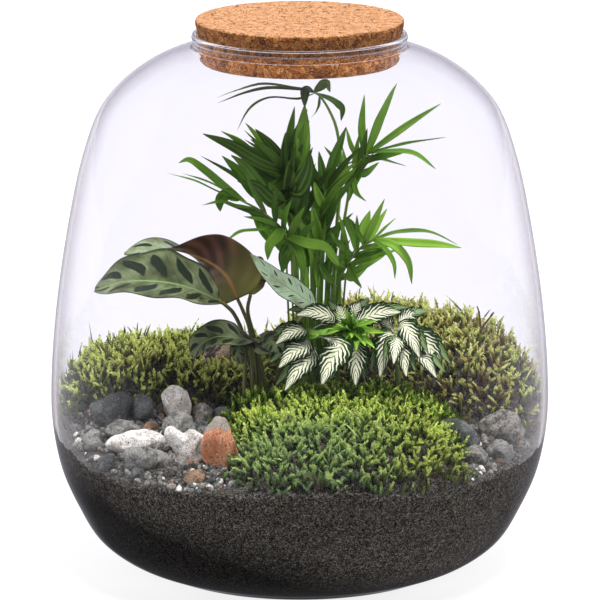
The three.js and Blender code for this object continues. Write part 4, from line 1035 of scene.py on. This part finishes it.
for index, (row, kind) in enumerate(zip(STONES, KINDS)):
    x, y, a, b, c, turn, tilt, lift, notch, slot = row
    way, radius, faces = rough_ball(index + 3, 34, 56)
    dent = 0.09 * np.sin(3.1 * way[:, 0] + index)
    dent = dent + 0.08 * np.sin(2.7 * way[:, 1] + 2.3 * index) * np.cos(3.3 * way[:, 2])
    p = way * ((1 + dent) * radius)[:, None]
    p[:, 2] -= notch * np.exp(-((p[:, 0] / 0.32) ** 2)) * np.maximum(0, p[:, 2])
    p[:, 0] *= 1 + notch * 0.7 * p[:, 2]
    centre = [x, y, float(soil_top(x, y)) + c * lift]
    p = (p * [a, b, c]) @ turn_by(tilt, tilt * 0.6, turn).T + centre
    number = "%02d" % (index + 1)
    piece("pebble_" + number, p, faces, [ROCKS[kind]], ["stone_" + number])

# Gravel between the stones, pressed into the top of the soil.
chance = np.random.default_rng(21)
grains = []
spots = np.vstack([
    chance.uniform([-128, -122, 0], [-34, -12, 0], (1300, 3)),
    chance.uniform([66, -104, 0], [126, -24, 0], (600, 3)),
])
spots[:, 2] = soil_top(spots[:, 0], spots[:, 1])
edge = wall_radius(spots[:, 2]) - 3.5
spots = spots[np.hypot(spots[:, 0], spots[:, 1]) < edge]
front_moss = mound_rise(MOUNDS["moss_front"], spots[:, 0], spots[:, 1])
spots = spots[front_moss < -3]
for n, spot in enumerate(spots):
    way, radius, faces = rough_ball(100 + n % 40, 6, 8, 7)
    size = chance.uniform(0.7, 2.9) * np.array([1, chance.uniform(0.6, 1), chance.uniform(0.5, 0.8)])
    p = (way * radius[:, None] * size) @ turn_by(*chance.uniform(0, 3, 3)).T + spot
    grains.append(((p, faces, {}), int(chance.choice(5, p=[0.1, 0.32, 0.28, 0.25, 0.05])), {}))
points, faces, _, numbers = joined(grains)
piece("gravel", points, faces, [ROCKS[k] for k in ("quartz", "granite", "slate", "limestone", "tan")],
      numbers=numbers)

# Moss: each mound is a bed of soil under thousands of upright shoots.
MOSSES = {
    "moss_left": moss_finish("olive_cushion_moss", "#090b05", "#697b23", "#e6ee8a", "#553d24"),
    "moss_front": moss_finish("bright_sheet_moss", "#060903", "#648e1d", "#e2f27a", "#544627", 0.5, 0.6),
    "moss_right": moss_finish("brown_olive_moss", "#0d0c07", "#929f44", "#e8ed9c", "#905a45", 0.44),
}


def ground_under(mound, x, y):
    """Height of a mound's mat: the soil's top and the mound's rise where it stands proud."""
    return soil_top(x, y) + np.maximum(mound_rise(mound, x, y), -1.5)


def slope_up(mound, x, y):
    """The mat's upright direction at a place, from its height 1 mm to each side."""
    east = ground_under(mound, x + 1, y) - ground_under(mound, x - 1, y)
    north = ground_under(mound, x, y + 1) - ground_under(mound, x, y - 1)
    return unit(np.stack([-east / 2, -north / 2, np.ones_like(x)], -1))


def shoots(places, ups, shade, lengths, stout, seed, leaves=16):
    """Moss shoots: each is a club, a five-sided stem that leaves its foot along its own direction and
    bends over, widest above its middle, in a spiral of short broad leaves that lie closer to it
    towards the tip. A leaf is one face from its base over its two widest points to its tip."""
    chance = np.random.default_rng(seed)
    n = len(places)
    lean = unit(ups + chance.normal(0, 0.3, (n, 3)))
    bend = chance.normal(0, 0.45, (n, 3))
    bend -= lean * np.sum(bend * lean, 1, keepdims=True)
    lengths, stout = lengths[:, None, None], stout[:, None, None]

    def stem(s):
        """Places, directions and two sideways directions at shares s of the length."""
        s = s[:, None]
        middle = places[:, None] + lengths * (lean[:, None] * s + bend[:, None] * 0.5 * s**2)
        way = unit(lean[:, None] + bend[:, None] * s)
        first = unit(np.cross(way, [0.31, 0.77, 0.55]))
        return middle, way, first, np.cross(way, first)

    rings = np.array([0, 0.45, 0.82, 1.0])
    middle, _, first, second = stem(rings)
    radius = (np.array([0.45, 0.85, 0.75, 0.15])[:, None] * stout)[..., None]
    turn = np.arange(5) * 0.4 * np.pi
    ring = first[:, :, None] * np.cos(turn)[:, None] + second[:, :, None] * np.sin(turn)[:, None]
    club = (middle[:, :, None] + radius * ring).reshape(-1, 3)
    corners = 4 * 5
    club_faces = (cells(4, 5, True)[None] + corners * np.arange(n)[:, None, None]).reshape(-1, 4)
    club_tip = np.broadcast_to(np.array([0.0, 0.2, 0.6, 0.9])[None, :, None], (n, 4, 5)).ravel()

    s = 0.12 + 0.88 * np.linspace(0, 1, leaves) ** 0.8
    middle, way, first, second = stem(s)
    s = s[:, None]
    angle = (np.arange(leaves) * 2.4)[None] + chance.uniform(0, 6.3, (n, 1))
    out = first * np.cos(angle)[..., None] + second * np.sin(angle)[..., None]
    size = 1.75 * stout * chance.uniform(0.8, 1.25, (n, leaves, 1))
    leaf_way = unit(out + way * (0.9 + 1.6 * s))
    base = middle + out * (0.62 - 0.42 * s**3) * stout
    belly = base + leaf_way * size * 0.42
    wide = np.cross(way, out) * size * 0.34
    leaf = np.stack([base, belly + wide, base + leaf_way * size, belly - wide], 2).reshape(-1, 3)
    leaf_faces = len(club) + np.arange(len(leaf)).reshape(-1, 4)
    bright = np.array([-0.1, 0.12, 0.45, 0.12]) + 0.55 * s**1.4
    leaf_tip = np.broadcast_to(bright[None], (n, leaves, 4)).ravel()
    own = chance.uniform(0, 1, n)
    tone = np.concatenate([np.repeat(own, corners), np.repeat(own, 4 * leaves)])
    shade = np.concatenate([np.repeat(shade, corners), np.repeat(shade, 4 * leaves)])
    values = {"tip": np.concatenate([club_tip, leaf_tip]) * shade, "tone": tone}
    return np.vstack([club, leaf]), np.vstack([club_faces, leaf_faces]), values


def mat(mound):
    """The bed below the shoots: rays from the mound's middle out to its edge or to the glass, whichever
    is nearer, and down from there into the soil."""
    sides = 150
    angle = np.linspace(0, 2 * np.pi, sides, endpoint=False)
    c, s = math.cos(mound["turn"]), math.sin(mound["turn"])
    ray = np.stack([np.cos(angle), np.sin(angle)], -1)
    u = (ray[:, 0] * c + ray[:, 1] * s) / mound["a"]
    v = (-ray[:, 0] * s + ray[:, 1] * c) / mound["b"]
    reach = (u**4 + v**4) ** -0.25
    middle = np.array([mound["x"], mound["y"]])
    across = ray @ middle
    to_glass = -across + np.sqrt(across**2 + (BED + 0.2) ** 2 - middle @ middle)
    reach = np.minimum(reach, to_glass)
    share = np.linspace(0, 1, 36)[1:, None]
    x = mound["x"] + share * reach * ray[:, 0]
    y = mound["y"] + share * reach * ray[:, 1]
    z = ground_under(mound, x, y) - 0.8
    x, y = np.vstack([x, x[-1], x[-1]]), np.vstack([y, y[-1], y[-1]])
    low = soil_top(x[-1], y[-1]) - 1.5
    z = np.vstack([z, (z[-1] + low) / 2, low])
    body = np.stack([x, y, z], -1).reshape(-1, 3)
    faces = closed_grid(len(x), sides)[:, ::-1]
    under = [mound["x"], mound["y"], float(low.min())]
    peak = [mound["x"], mound["y"], float(ground_under(mound, mound["x"], mound["y"])) - 0.8]
    points = np.vstack([body, peak, under])
    return points, faces, {"tip": np.full(len(points), 0.12), "tone": np.full(len(points), 0.2)}


def clear_of_stones(x, y):
    """Whether a place is outside every stone and not close to it."""
    spare = 0.8
    free = np.ones(len(x), bool)
    for stone_x, stone_y, a, b, _, turn, *_ in STONES:
        c, s = math.cos(turn), math.sin(turn)
        u = ((x - stone_x) * c + (y - stone_y) * s) / (a + spare)
        v = (-(x - stone_x) * s + (y - stone_y) * c) / (b + spare)
        free &= u**2 + v**2 > 1
    return free


def clump(x, y):
    """From 0 between clumps of shoots to 1 in their middle: sines of the place, 8 to 13 mm long."""
    slow = np.sin(0.47 * x + 1.3 * np.sin(0.21 * y)) + np.sin(0.52 * y + 1.6 * np.sin(0.24 * x) + 1)
    fine = np.sin(0.71 * x - 0.38 * y + 2) + np.sin(0.33 * x + 0.66 * y)
    return np.clip(0.5 + 0.2 * slow + 0.14 * fine, 0, 1)


def on_mound(name, spacing, seed):
    """Feet of the shoots: a jittered grid where the mound stands proud, ever fewer outside it, and rows
    up along the glass. The shade is lower at the mound's edge, low along the glass and between clumps."""
    mound = MOUNDS[name]
    chance = np.random.default_rng(seed)
    far = max(mound["a"], mound["b"]) + 6
    gx, gy = np.meshgrid(np.arange(mound["x"] - far, mound["x"] + far, spacing),
                         np.arange(mound["y"] - far, mound["y"] + far, spacing))
    x = gx.ravel() + chance.uniform(-0.6, 0.6, gx.size) * spacing
    y = gy.ravel() + chance.uniform(-0.6, 0.6, gx.size) * spacing
    rise = mound_rise(mound, x, y)
    ragged = chance.uniform(0, 1, x.size) < 0.6 * np.exp(rise / 7)
    thick = chance.uniform(0, 1, x.size) < 0.35 + 1.3 * clump(x, y)
    keep = ((rise > 0.2) | ragged) & thick & (np.hypot(x, y) < BED) & clear_of_stones(x, y)
    x, y = x[keep], y[keep]
    rise = rise[keep]
    places = np.stack([x, y, ground_under(mound, x, y) - 0.6], -1)
    ups = unit(slope_up(mound, x, y) + [0, 0, 0.5])
    angle = np.arange(0, 2 * np.pi, spacing / BED)
    angle = np.repeat(angle, 8) + chance.uniform(-0.5, 0.5, 8 * len(angle)) * spacing / BED
    band = 24  # height of the rows along the glass
    share = chance.uniform(0, 1, len(angle))
    wx, wy = (BED - 0.4) * np.cos(angle), (BED - 0.4) * np.sin(angle)
    wall_rise = mound_rise(mound, wx, wy)
    lowest = np.clip(0.13 * (wx - 5), 0, 9) * (wy < 0) + chance.uniform(-2, 3, len(wx))
    low = share * band - 4 < lowest
    bare = chance.uniform(0, 1, len(wx)) < np.where(low, 0.62, np.clip(0.6 - 2 * share, 0, 1))
    keep = (wall_rise > 0.5) & (share * band - 4 < wall_rise + 3) & ~bare
    keep &= clear_of_stones(wx, wy)
    wx, wy, share, low = wx[keep], wy[keep], share[keep], low[keep]
    wz = soil_top(wx, wy) - 6 + share * band
    outward = np.stack([wx, wy, 0 * wx], -1) / BED
    places = np.vstack([places, np.stack([wx, wy, wz], -1)])
    ups = np.vstack([ups, unit(outward * 0.45 + [0, 0, 1])])
    shade = np.concatenate([np.clip(0.55 + rise / 12, 0.45, 1), np.where(low, 0.6, 0.14 + 0.75 * share)])
    shade *= 0.6 + 0.58 * clump(places[:, 0], places[:, 1])
    if name == "moss_front":
        # The part under the plants gets less light.
        shade *= 0.62 + 0.38 * np.clip((-places[:, 1] - 28) / 40, 0, 1)
    return places, ups, shade


def inside_glass(points):
    """Points pulled in to 0.5 mm from the inside of the glass."""
    r = np.hypot(points[:, 0], points[:, 1])
    limit = wall_radius(points[:, 2]) - 0.5
    share = np.minimum(1, limit / np.maximum(r, 1e-6))
    return points * np.stack([share, share, np.ones_like(share)], -1)


# Spacing and length of the shoots of each mound, and the number that starts its random draws.
GROWTH = {"moss_left": (3.0, 8.0, 31), "moss_front": (2.8, 6.8, 32), "moss_right": (3.3, 8.0, 33)}
for name, (spacing, length, seed) in GROWTH.items():
    places, ups, shade = on_mound(name, spacing, seed)
    chance = np.random.default_rng(seed + 10)
    stout = chance.uniform(0.75, 1.15, len(places))
    long = length * chance.uniform(0.65, 1.3, len(places))
    wiry = chance.uniform(0, 1, len(places)) < 0.14
    long *= 0.75 + 0.5 * clump(places[:, 0], places[:, 1])
    long[wiry] *= 1.45
    stout[wiry] *= 0.6
    grown = shoots(places, ups, shade, long, stout, seed + 20)
    base = mat(MOUNDS[name])
    points, faces, values, numbers = joined([(base, 1, {}), (grown, 0, {})])
    points = inside_glass(points)
    piece(name + "_shoots", points, faces, [MOSSES[name], soil_look], [name], values,
          numbers, smooth=False)

# Palm: each frond has its stalk and narrow leaflets, folded along the middle.
leaflet = palm_finish()
stalk = stalk_finish("palm_stalk", "#7f9f45", "#5f7f33")
# How light each frond is.
TONES = {"palm_frond_tall": 0.16, "palm_frond_right_upper": 0.3, "palm_frond_right_lower": 0.5,
         "palm_frond_left_upper": 0.16, "palm_frond_middle": 0.35, "palm_frond_left_lower": 0.3}
# How many leaflets grow between the ones above: their count, first and last place, length and width.
BETWEEN = {"palm_frond_left_upper": (26, 0.3, 0.95, 34, 6), "palm_frond_middle": (16, 0.3, 0.95, 34, 5.2),
           "palm_frond_right_lower": (8, 0.2, 0.7, 28, 4.6), "palm_frond_left_lower": (9, 0.3, 0.7, 28, 4.6),
           "palm_frond_right_upper": (9, 0.35, 0.8, 26, 4.2)}
# Young folded leaflets that rise among the fronds: column and row of the middle and of the tip on the
# sketch grid, depth, width, and whether the leaflet itself reaches down to the soil (1) or a thin
# stalk does (0).
RISING = [
    [301, 172, 305, 106, 6, 10, 0],
    [287, 268, 283, 238, 30, 3.6, 0], [292, 262, 286, 226, 16, 3.4, 0], [297, 270, 296, 236, 34, 3, 1],
    [303, 266, 300, 228, 8, 3.4, 0], [307, 268, 310, 232, 28, 3.4, 1], [312, 262, 306, 222, 12, 3, 1],
    [316, 270, 322, 236, 38, 4, 0], [322, 262, 326, 218, 10, 3.6, 1], [327, 268, 334, 232, 32, 4.2, 0],
    [331, 262, 342, 224, 18, 3.4, 1], [336, 270, 350, 240, 8, 3.6, 0], [341, 272, 358, 246, 30, 3, 1],
    [346, 276, 366, 252, 14, 3.6, 0], [308, 292, 305, 262, 4, 3.4, 0], [318, 288, 316, 254, 10, 3.8, 0],
    [332, 290, 343, 260, 20, 3.6, 0],
]


def straight(line):
    """A leaflet's line: its middle point, where it has one, is drawn most of the way to a straight one."""
    if len(line) == 3:
        line = line.copy()
        line[1] = 0.4 * line[1] + 0.6 * (0.45 * line[2] + 0.55 * line[0])
    return line


def between(upper, chance, count, first, last, length, width):
    """Leaflets that leave a stalk at even places, to the left and right in turn, rise along it and
    bend out; the line of each is its start, a point at half its length and its tip."""
    made = []
    for k, place in enumerate(np.linspace(first, last, count)):
        start, ahead = along(upper, [place, min(place + 0.05, 1)])
        if place > 0.94:
            start, ahead = along(upper, [place - 0.05, place])
        stem_way = unit(ahead - start)
        side = unit(np.cross(stem_way, [0, 1, 0])) * (1 if k % 2 else -1)
        spread = chance.uniform(0.25, 0.75)
        sway = [0, chance.uniform(-0.35, 0.35), 0]
        way = unit(stem_way * math.cos(spread) + side * math.sin(spread) + sway)
        reach = length * chance.uniform(0.7, 1.15)
        tip = start + reach * way + side * reach * chance.uniform(0, 0.12)
        made.append((np.stack([start, start + 0.5 * reach * way, tip]), width * chance.uniform(0.75, 1.15)))
    return made


for name, frond in FRONDS.items():
    chance = np.random.default_rng(len(name) * 7 + int(frond["root"][0]))
    upper = at(frond["stem"])
    shapes = [(tube(np.vstack([footing(*frond["root"], 14, 8), upper]), 1.4, 0.6, 40), 1, {"tone": 0.5})]
    for place, width, points, look in frond["leaflets"]:
        start = along(upper, [place])
        line = straight(np.vstack([start, at(points)]))
        shape = blade(line, width, 18, 6, lance, look, fold=0.4, wave=0.2, waves=2, thick=0.35)
        shapes.append((shape, 0, {"tone": float(np.clip(TONES[name] + chance.uniform(-0.15, 0.4), 0, 0.9))}))
    if name == "palm_frond_middle":
        for column, row, tip_column, tip_row, y, width, broad in RISING:
            foot = [6 + 0.45 * (column - 312), 26 + 0.4 * (y - 22)]
            root = footing(*foot, 4, 10)
            leaf = at([[column, row, y], [tip_column, tip_row, y + 2]])
            if broad:
                line = np.vstack([root[2:], leaf])
            else:
                root = np.vstack([root, leaf[:1]])
                line = np.stack([leaf[0], leaf.mean(0) + [0, 0, 1], leaf[1]])
            shapes.append((tube(root, 0.8, 0.6, 20, 6), 1, {"tone": 0.5}))
            shape = blade(line, width, 30, 4, lance, VIEWER, fold=0.5, wave=0.1, waves=2, thick=0.35)
            shapes.append((shape, 0, {"tone": chance.uniform(0.3, 1.0)}))
    more = between(upper, chance, *BETWEEN[name]) if name in BETWEEN else []
    for line, width in more:
        look = [chance.uniform(-0.4, 0.4), -0.85, 0.4]
        shape = blade(line, width, 16, 4, lance, look, fold=0.45, wave=0.15, waves=2, thick=0.35)
        shapes.append((shape, 0, {"tone": float(np.clip(TONES[name] + chance.uniform(-0.15, 0.6), 0, 1))}))
    points, faces, values, numbers = joined(shapes)
    piece(name.replace("palm_frond", "palm_leaflets"), points, faces, [leaflet, stalk], [name],
          values, numbers)

# Prayer plant: leaves with barred upper sides and purple lower sides.
upper_side, lower_side = calathea_finish(), calathea_under_finish()
petiole = stalk_finish("prayer_plant_petiole", "#7b8a4a", "#6f6048")
sheath_skin = stalk_finish("prayer_plant_sheath", "#2b2516", "#76803a")


def leafy(name, stem, leaves, skin, packed, tone=0.0):
    """One piece of a stem and its leaves. A leaf shows one finish above and another below: the first
    half of a blade's faces is its upper side."""
    tones = {"tone": tone}
    points, faces, values, numbers = joined([(stem, 2, tones)] + [(leaf, 0, tones) for leaf in leaves])
    numbers[len(stem[1]):] = np.concatenate([np.repeat([0, 1], len(leaf[1]) // 2) for leaf in leaves])
    piece(name, points, faces, [upper_side, lower_side, skin], [packed], values, numbers)


# How silvery each of the paler leaves is.
SILVER = {"calathea_leaf_right": 1.0, "calathea_leaf_back": 0.45}
for name, leaf in CALATHEA.items():
    line = np.vstack([at([leaf["petiole"][-1]]), at(leaf["blade"])])
    shape = blade(line, leaf["width"], 70, 24, OUTLINES[leaf["outline"]], leaf["face"], leaf.get("face_end"),
                  leaf["fold"], leaf["wave"], 3, 0.5)
    foot = np.vstack([footing(*leaf["root"], 12, 10), at(leaf["petiole"])])
    leafy(name.replace("leaf", "blade"), tube(foot, 1.4, 1.0, 40, 10), [shape], petiole,
          name, SILVER.get(name, 0.0))

line = np.vstack([footing(*SHEATH["root"], 12, 6), at(SHEATH["path"])])
blades = [blade(at([SHEATH["path"][1], *points]), width, 40, 16, oval, face, None, fold, wave, 3, 0.5)
          for points, width, face, fold, wave in SHEATH["leaves"]]
leafy("calathea_cane", tube(line, 4.1, 2.8, 30, 16, 0.15), blades, sheath_skin,
      "calathea_sheath")

# Nerve plant: stems with small leaves, cream veined, and young green ones in the middle.
veined = fittonia_finish("nerve_plant_leaf", "#16330f", "#eff2d2")
young = fittonia_finish("nerve_plant_young_leaf", "#64a61f", "#b8dc62")
# Painted shade: a darker copy of the leaf finish for the second leaf of each pair, behind the first.
leaf_in_painted_shade = fittonia_finish("nerve_plant_leaf_in_painted_shade", "#122b0c", "#93ad70")
soft_stem = stalk_finish("nerve_plant_stem", "#7d9a52", "#9db070")
YOUNG = 11  # a leaf narrower than this is a young one
for name, shoot in BUSH.items():
    path = np.vstack([footing(*shoot["root"], 10, 12), at(shoot["top"])])
    shapes = [(tube(path, 1.4, 1.0, 24), 2, {})]
    base = along(path, [0.96])
    for start, end, width, bow in shoot["leaves"]:
        first, tip = at([start])[0], at([end])[0]
        middle = (first + tip) / 2 + [0, 0, bow]
        line = np.vstack([base, first, middle, tip])
        if width < YOUNG:
            # Young leaves stand in threes, folded and pointed.
            for part in (-1, 0, 1):
                fan = tip + [part * 5.2, 3 * part, 3.4 - 2.2 * abs(part)]
                line = np.vstack([base, (first + base[0]) / 2, (fan + first) / 2, fan])
                shape = blade(line, width * 0.72, 24, 6, drop, [0.4 * part, -0.75, 0.6], fold=0.4)
                shapes.append((shape, 1, {}))
            continue
        shape = blade(line, width * 0.95, 40, 12, stalked, [0, -0.75, 0.65], None, 0.15, 0.8, 5, 0.5)
        shapes.append((shape, 0, {}))
        # A second, smaller leaf of each pair, behind it and turned a little outwards, with a darker finish as
        # painted shade.
        aside = np.array([3.4 * np.sign(tip[0] - base[0, 0] + 0.1), 6.0, 0.5])
        line = np.vstack([base, first + aside * 0.5, middle + aside, tip + aside * 1.5])
        shape = blade(line, width * 0.75, 34, 10, stalked, [0.1, -0.7, 0.7], None, 0.2, 0.8, 5, 0.5)
        shapes.append((shape, 3, {}))
    points, faces, values, numbers = joined(shapes)
    piece(name.replace("fittonia", "nerve_plant"), points, faces, [veined, young, soft_stem, leaf_in_painted_shade],
          [name], values, numbers)

# Dry twig in the right mound.
twig_line = at([[470, 352, 40], [482, 330, 42], [495, 312, 44]])
fork_line = np.vstack([along(twig_line, [0.5]), at([[480, 312, 46], [478, 306, 48]])])
points, faces, values, _ = joined([
    (tube(twig_line, 1.0, 0.45, 24, 8, 0.1), 0, {}), (tube(fork_line, 0.7, 0.35, 14, 8, 0.08), 0, {}),
])
piece("twig", points, faces, [bark_finish()], ["twig_right"], values)

# Studio: a white table lit from below, less in front, so that it shows next to no shadow, even light
# from above, a soft lamp at each side, and a camera 2.5 m away that looks down by 13.57 degrees.
table_made, tree, place = material("white_light_table")
depth = node(tree, "SeparateXYZ", {0: place}).outputs[1]
glow = node(tree, "MapRange", {0: depth, 1: -0.5, 2: -0.06}).outputs[0]
glow = node(tree, "ValToRGB", {0: glow}, stops=[(0, "#88888c"), (1, "#ffffff")]).outputs[0]
surface(tree, linear("#6e6e72"), 0.6, **{"Emission Color": glow, "Emission Strength": 0.87})
table = bpy.data.meshes.new("table")
table.from_pydata([(-6, -6, 0), (6, -6, 0), (6, 6, 0), (-6, 6, 0)], [], [(0, 1, 2, 3)])
table.materials.append(table_made)
table_object = bpy.data.objects.new("table", table)
bpy.context.scene.collection.objects.link(table_object)

world = bpy.data.worlds.new("studio")
bpy.context.scene.world = world
world.use_nodes = True
sky = world.node_tree.nodes["Background"]
way = node(world.node_tree, "TexCoord").outputs["Generated"]
behind = node(world.node_tree, "SeparateXYZ", {0: way}).outputs[1]
behind = node(world.node_tree, "MapRange", {0: behind, 1: -0.5, 2: 0.4, 3: 0.28, 4: 0.85}).outputs[0]
below = node(world.node_tree, "SeparateXYZ", {0: way}).outputs[2]
below = node(world.node_tree, "MapRange", {0: below, 1: -0.5, 2: -0.05, 3: 0.12, 4: 1.0}).outputs[0]
behind = node(world.node_tree, "Math", {0: behind, 1: below}, operation="MULTIPLY").outputs[0]
sky.inputs["Color"].default_value = linear("#ebe9f6")
world.node_tree.links.new(behind, sky.inputs["Strength"])
# The gloss of the glass shows the even studio walls, not the bright table.
table_object.visible_glossy = False


def lamp(name, kind, place, target, power, size):
    """A white lamp at a place in metres that looks at a target: a sun with the angle it covers, or a
    lit rectangle with its two sides."""
    light = bpy.data.lights.new(name, kind)
    light.energy = power
    if kind == "AREA":
        light.shape = "RECTANGLE"
        light.size, light.size_y = size
    else:
        light.angle = size
    made = bpy.data.objects.new(name, light)
    made.location = place
    way = np.asarray(target, float) - place
    pitch = math.acos(-way[2] / np.linalg.norm(way))
    made.rotation_euler = (pitch, 0, math.atan2(way[1], way[0]) - math.pi / 2)
    bpy.context.scene.collection.objects.link(made)
    return made


lamps = [
    lamp("overhead", "SUN", (0.25, -0.25, 2.0), (0, 0, 0.1), 4.4, 0.3),
    lamp("left_box", "AREA", (-1.3, -0.5, 0.9), (0, 0, 0.15), 13, (0.5, 1.0)),
    lamp("right_box", "AREA", (1.2, -0.9, 1.1), (0, 0, 0.2), 14, (0.4, 0.8)),
]
for light in lamps:
    light.visible_glossy = False
    light.visible_transmission = False

bpy.context.scene.view_settings.view_transform = "Standard"
PIXELS = 600  # side of the picture
FOCAL = 4451.2  # focal length in pixels
AWAY = 2.5
pitch = math.radians(13.57)
camera = bpy.data.cameras.new("camera")
camera.sensor_width = 36
camera.lens = 36 * FOCAL / PIXELS
camera.shift_x = 0.3 / PIXELS
eye = bpy.data.objects.new("camera", camera)
eye.location = (0, -AWAY * math.cos(pitch), EYE * MM + AWAY * math.sin(pitch))
eye.rotation_euler = (math.pi / 2 - pitch, 0, 0)
bpy.context.scene.collection.objects.link(eye)
bpy.context.scene.camera = eye
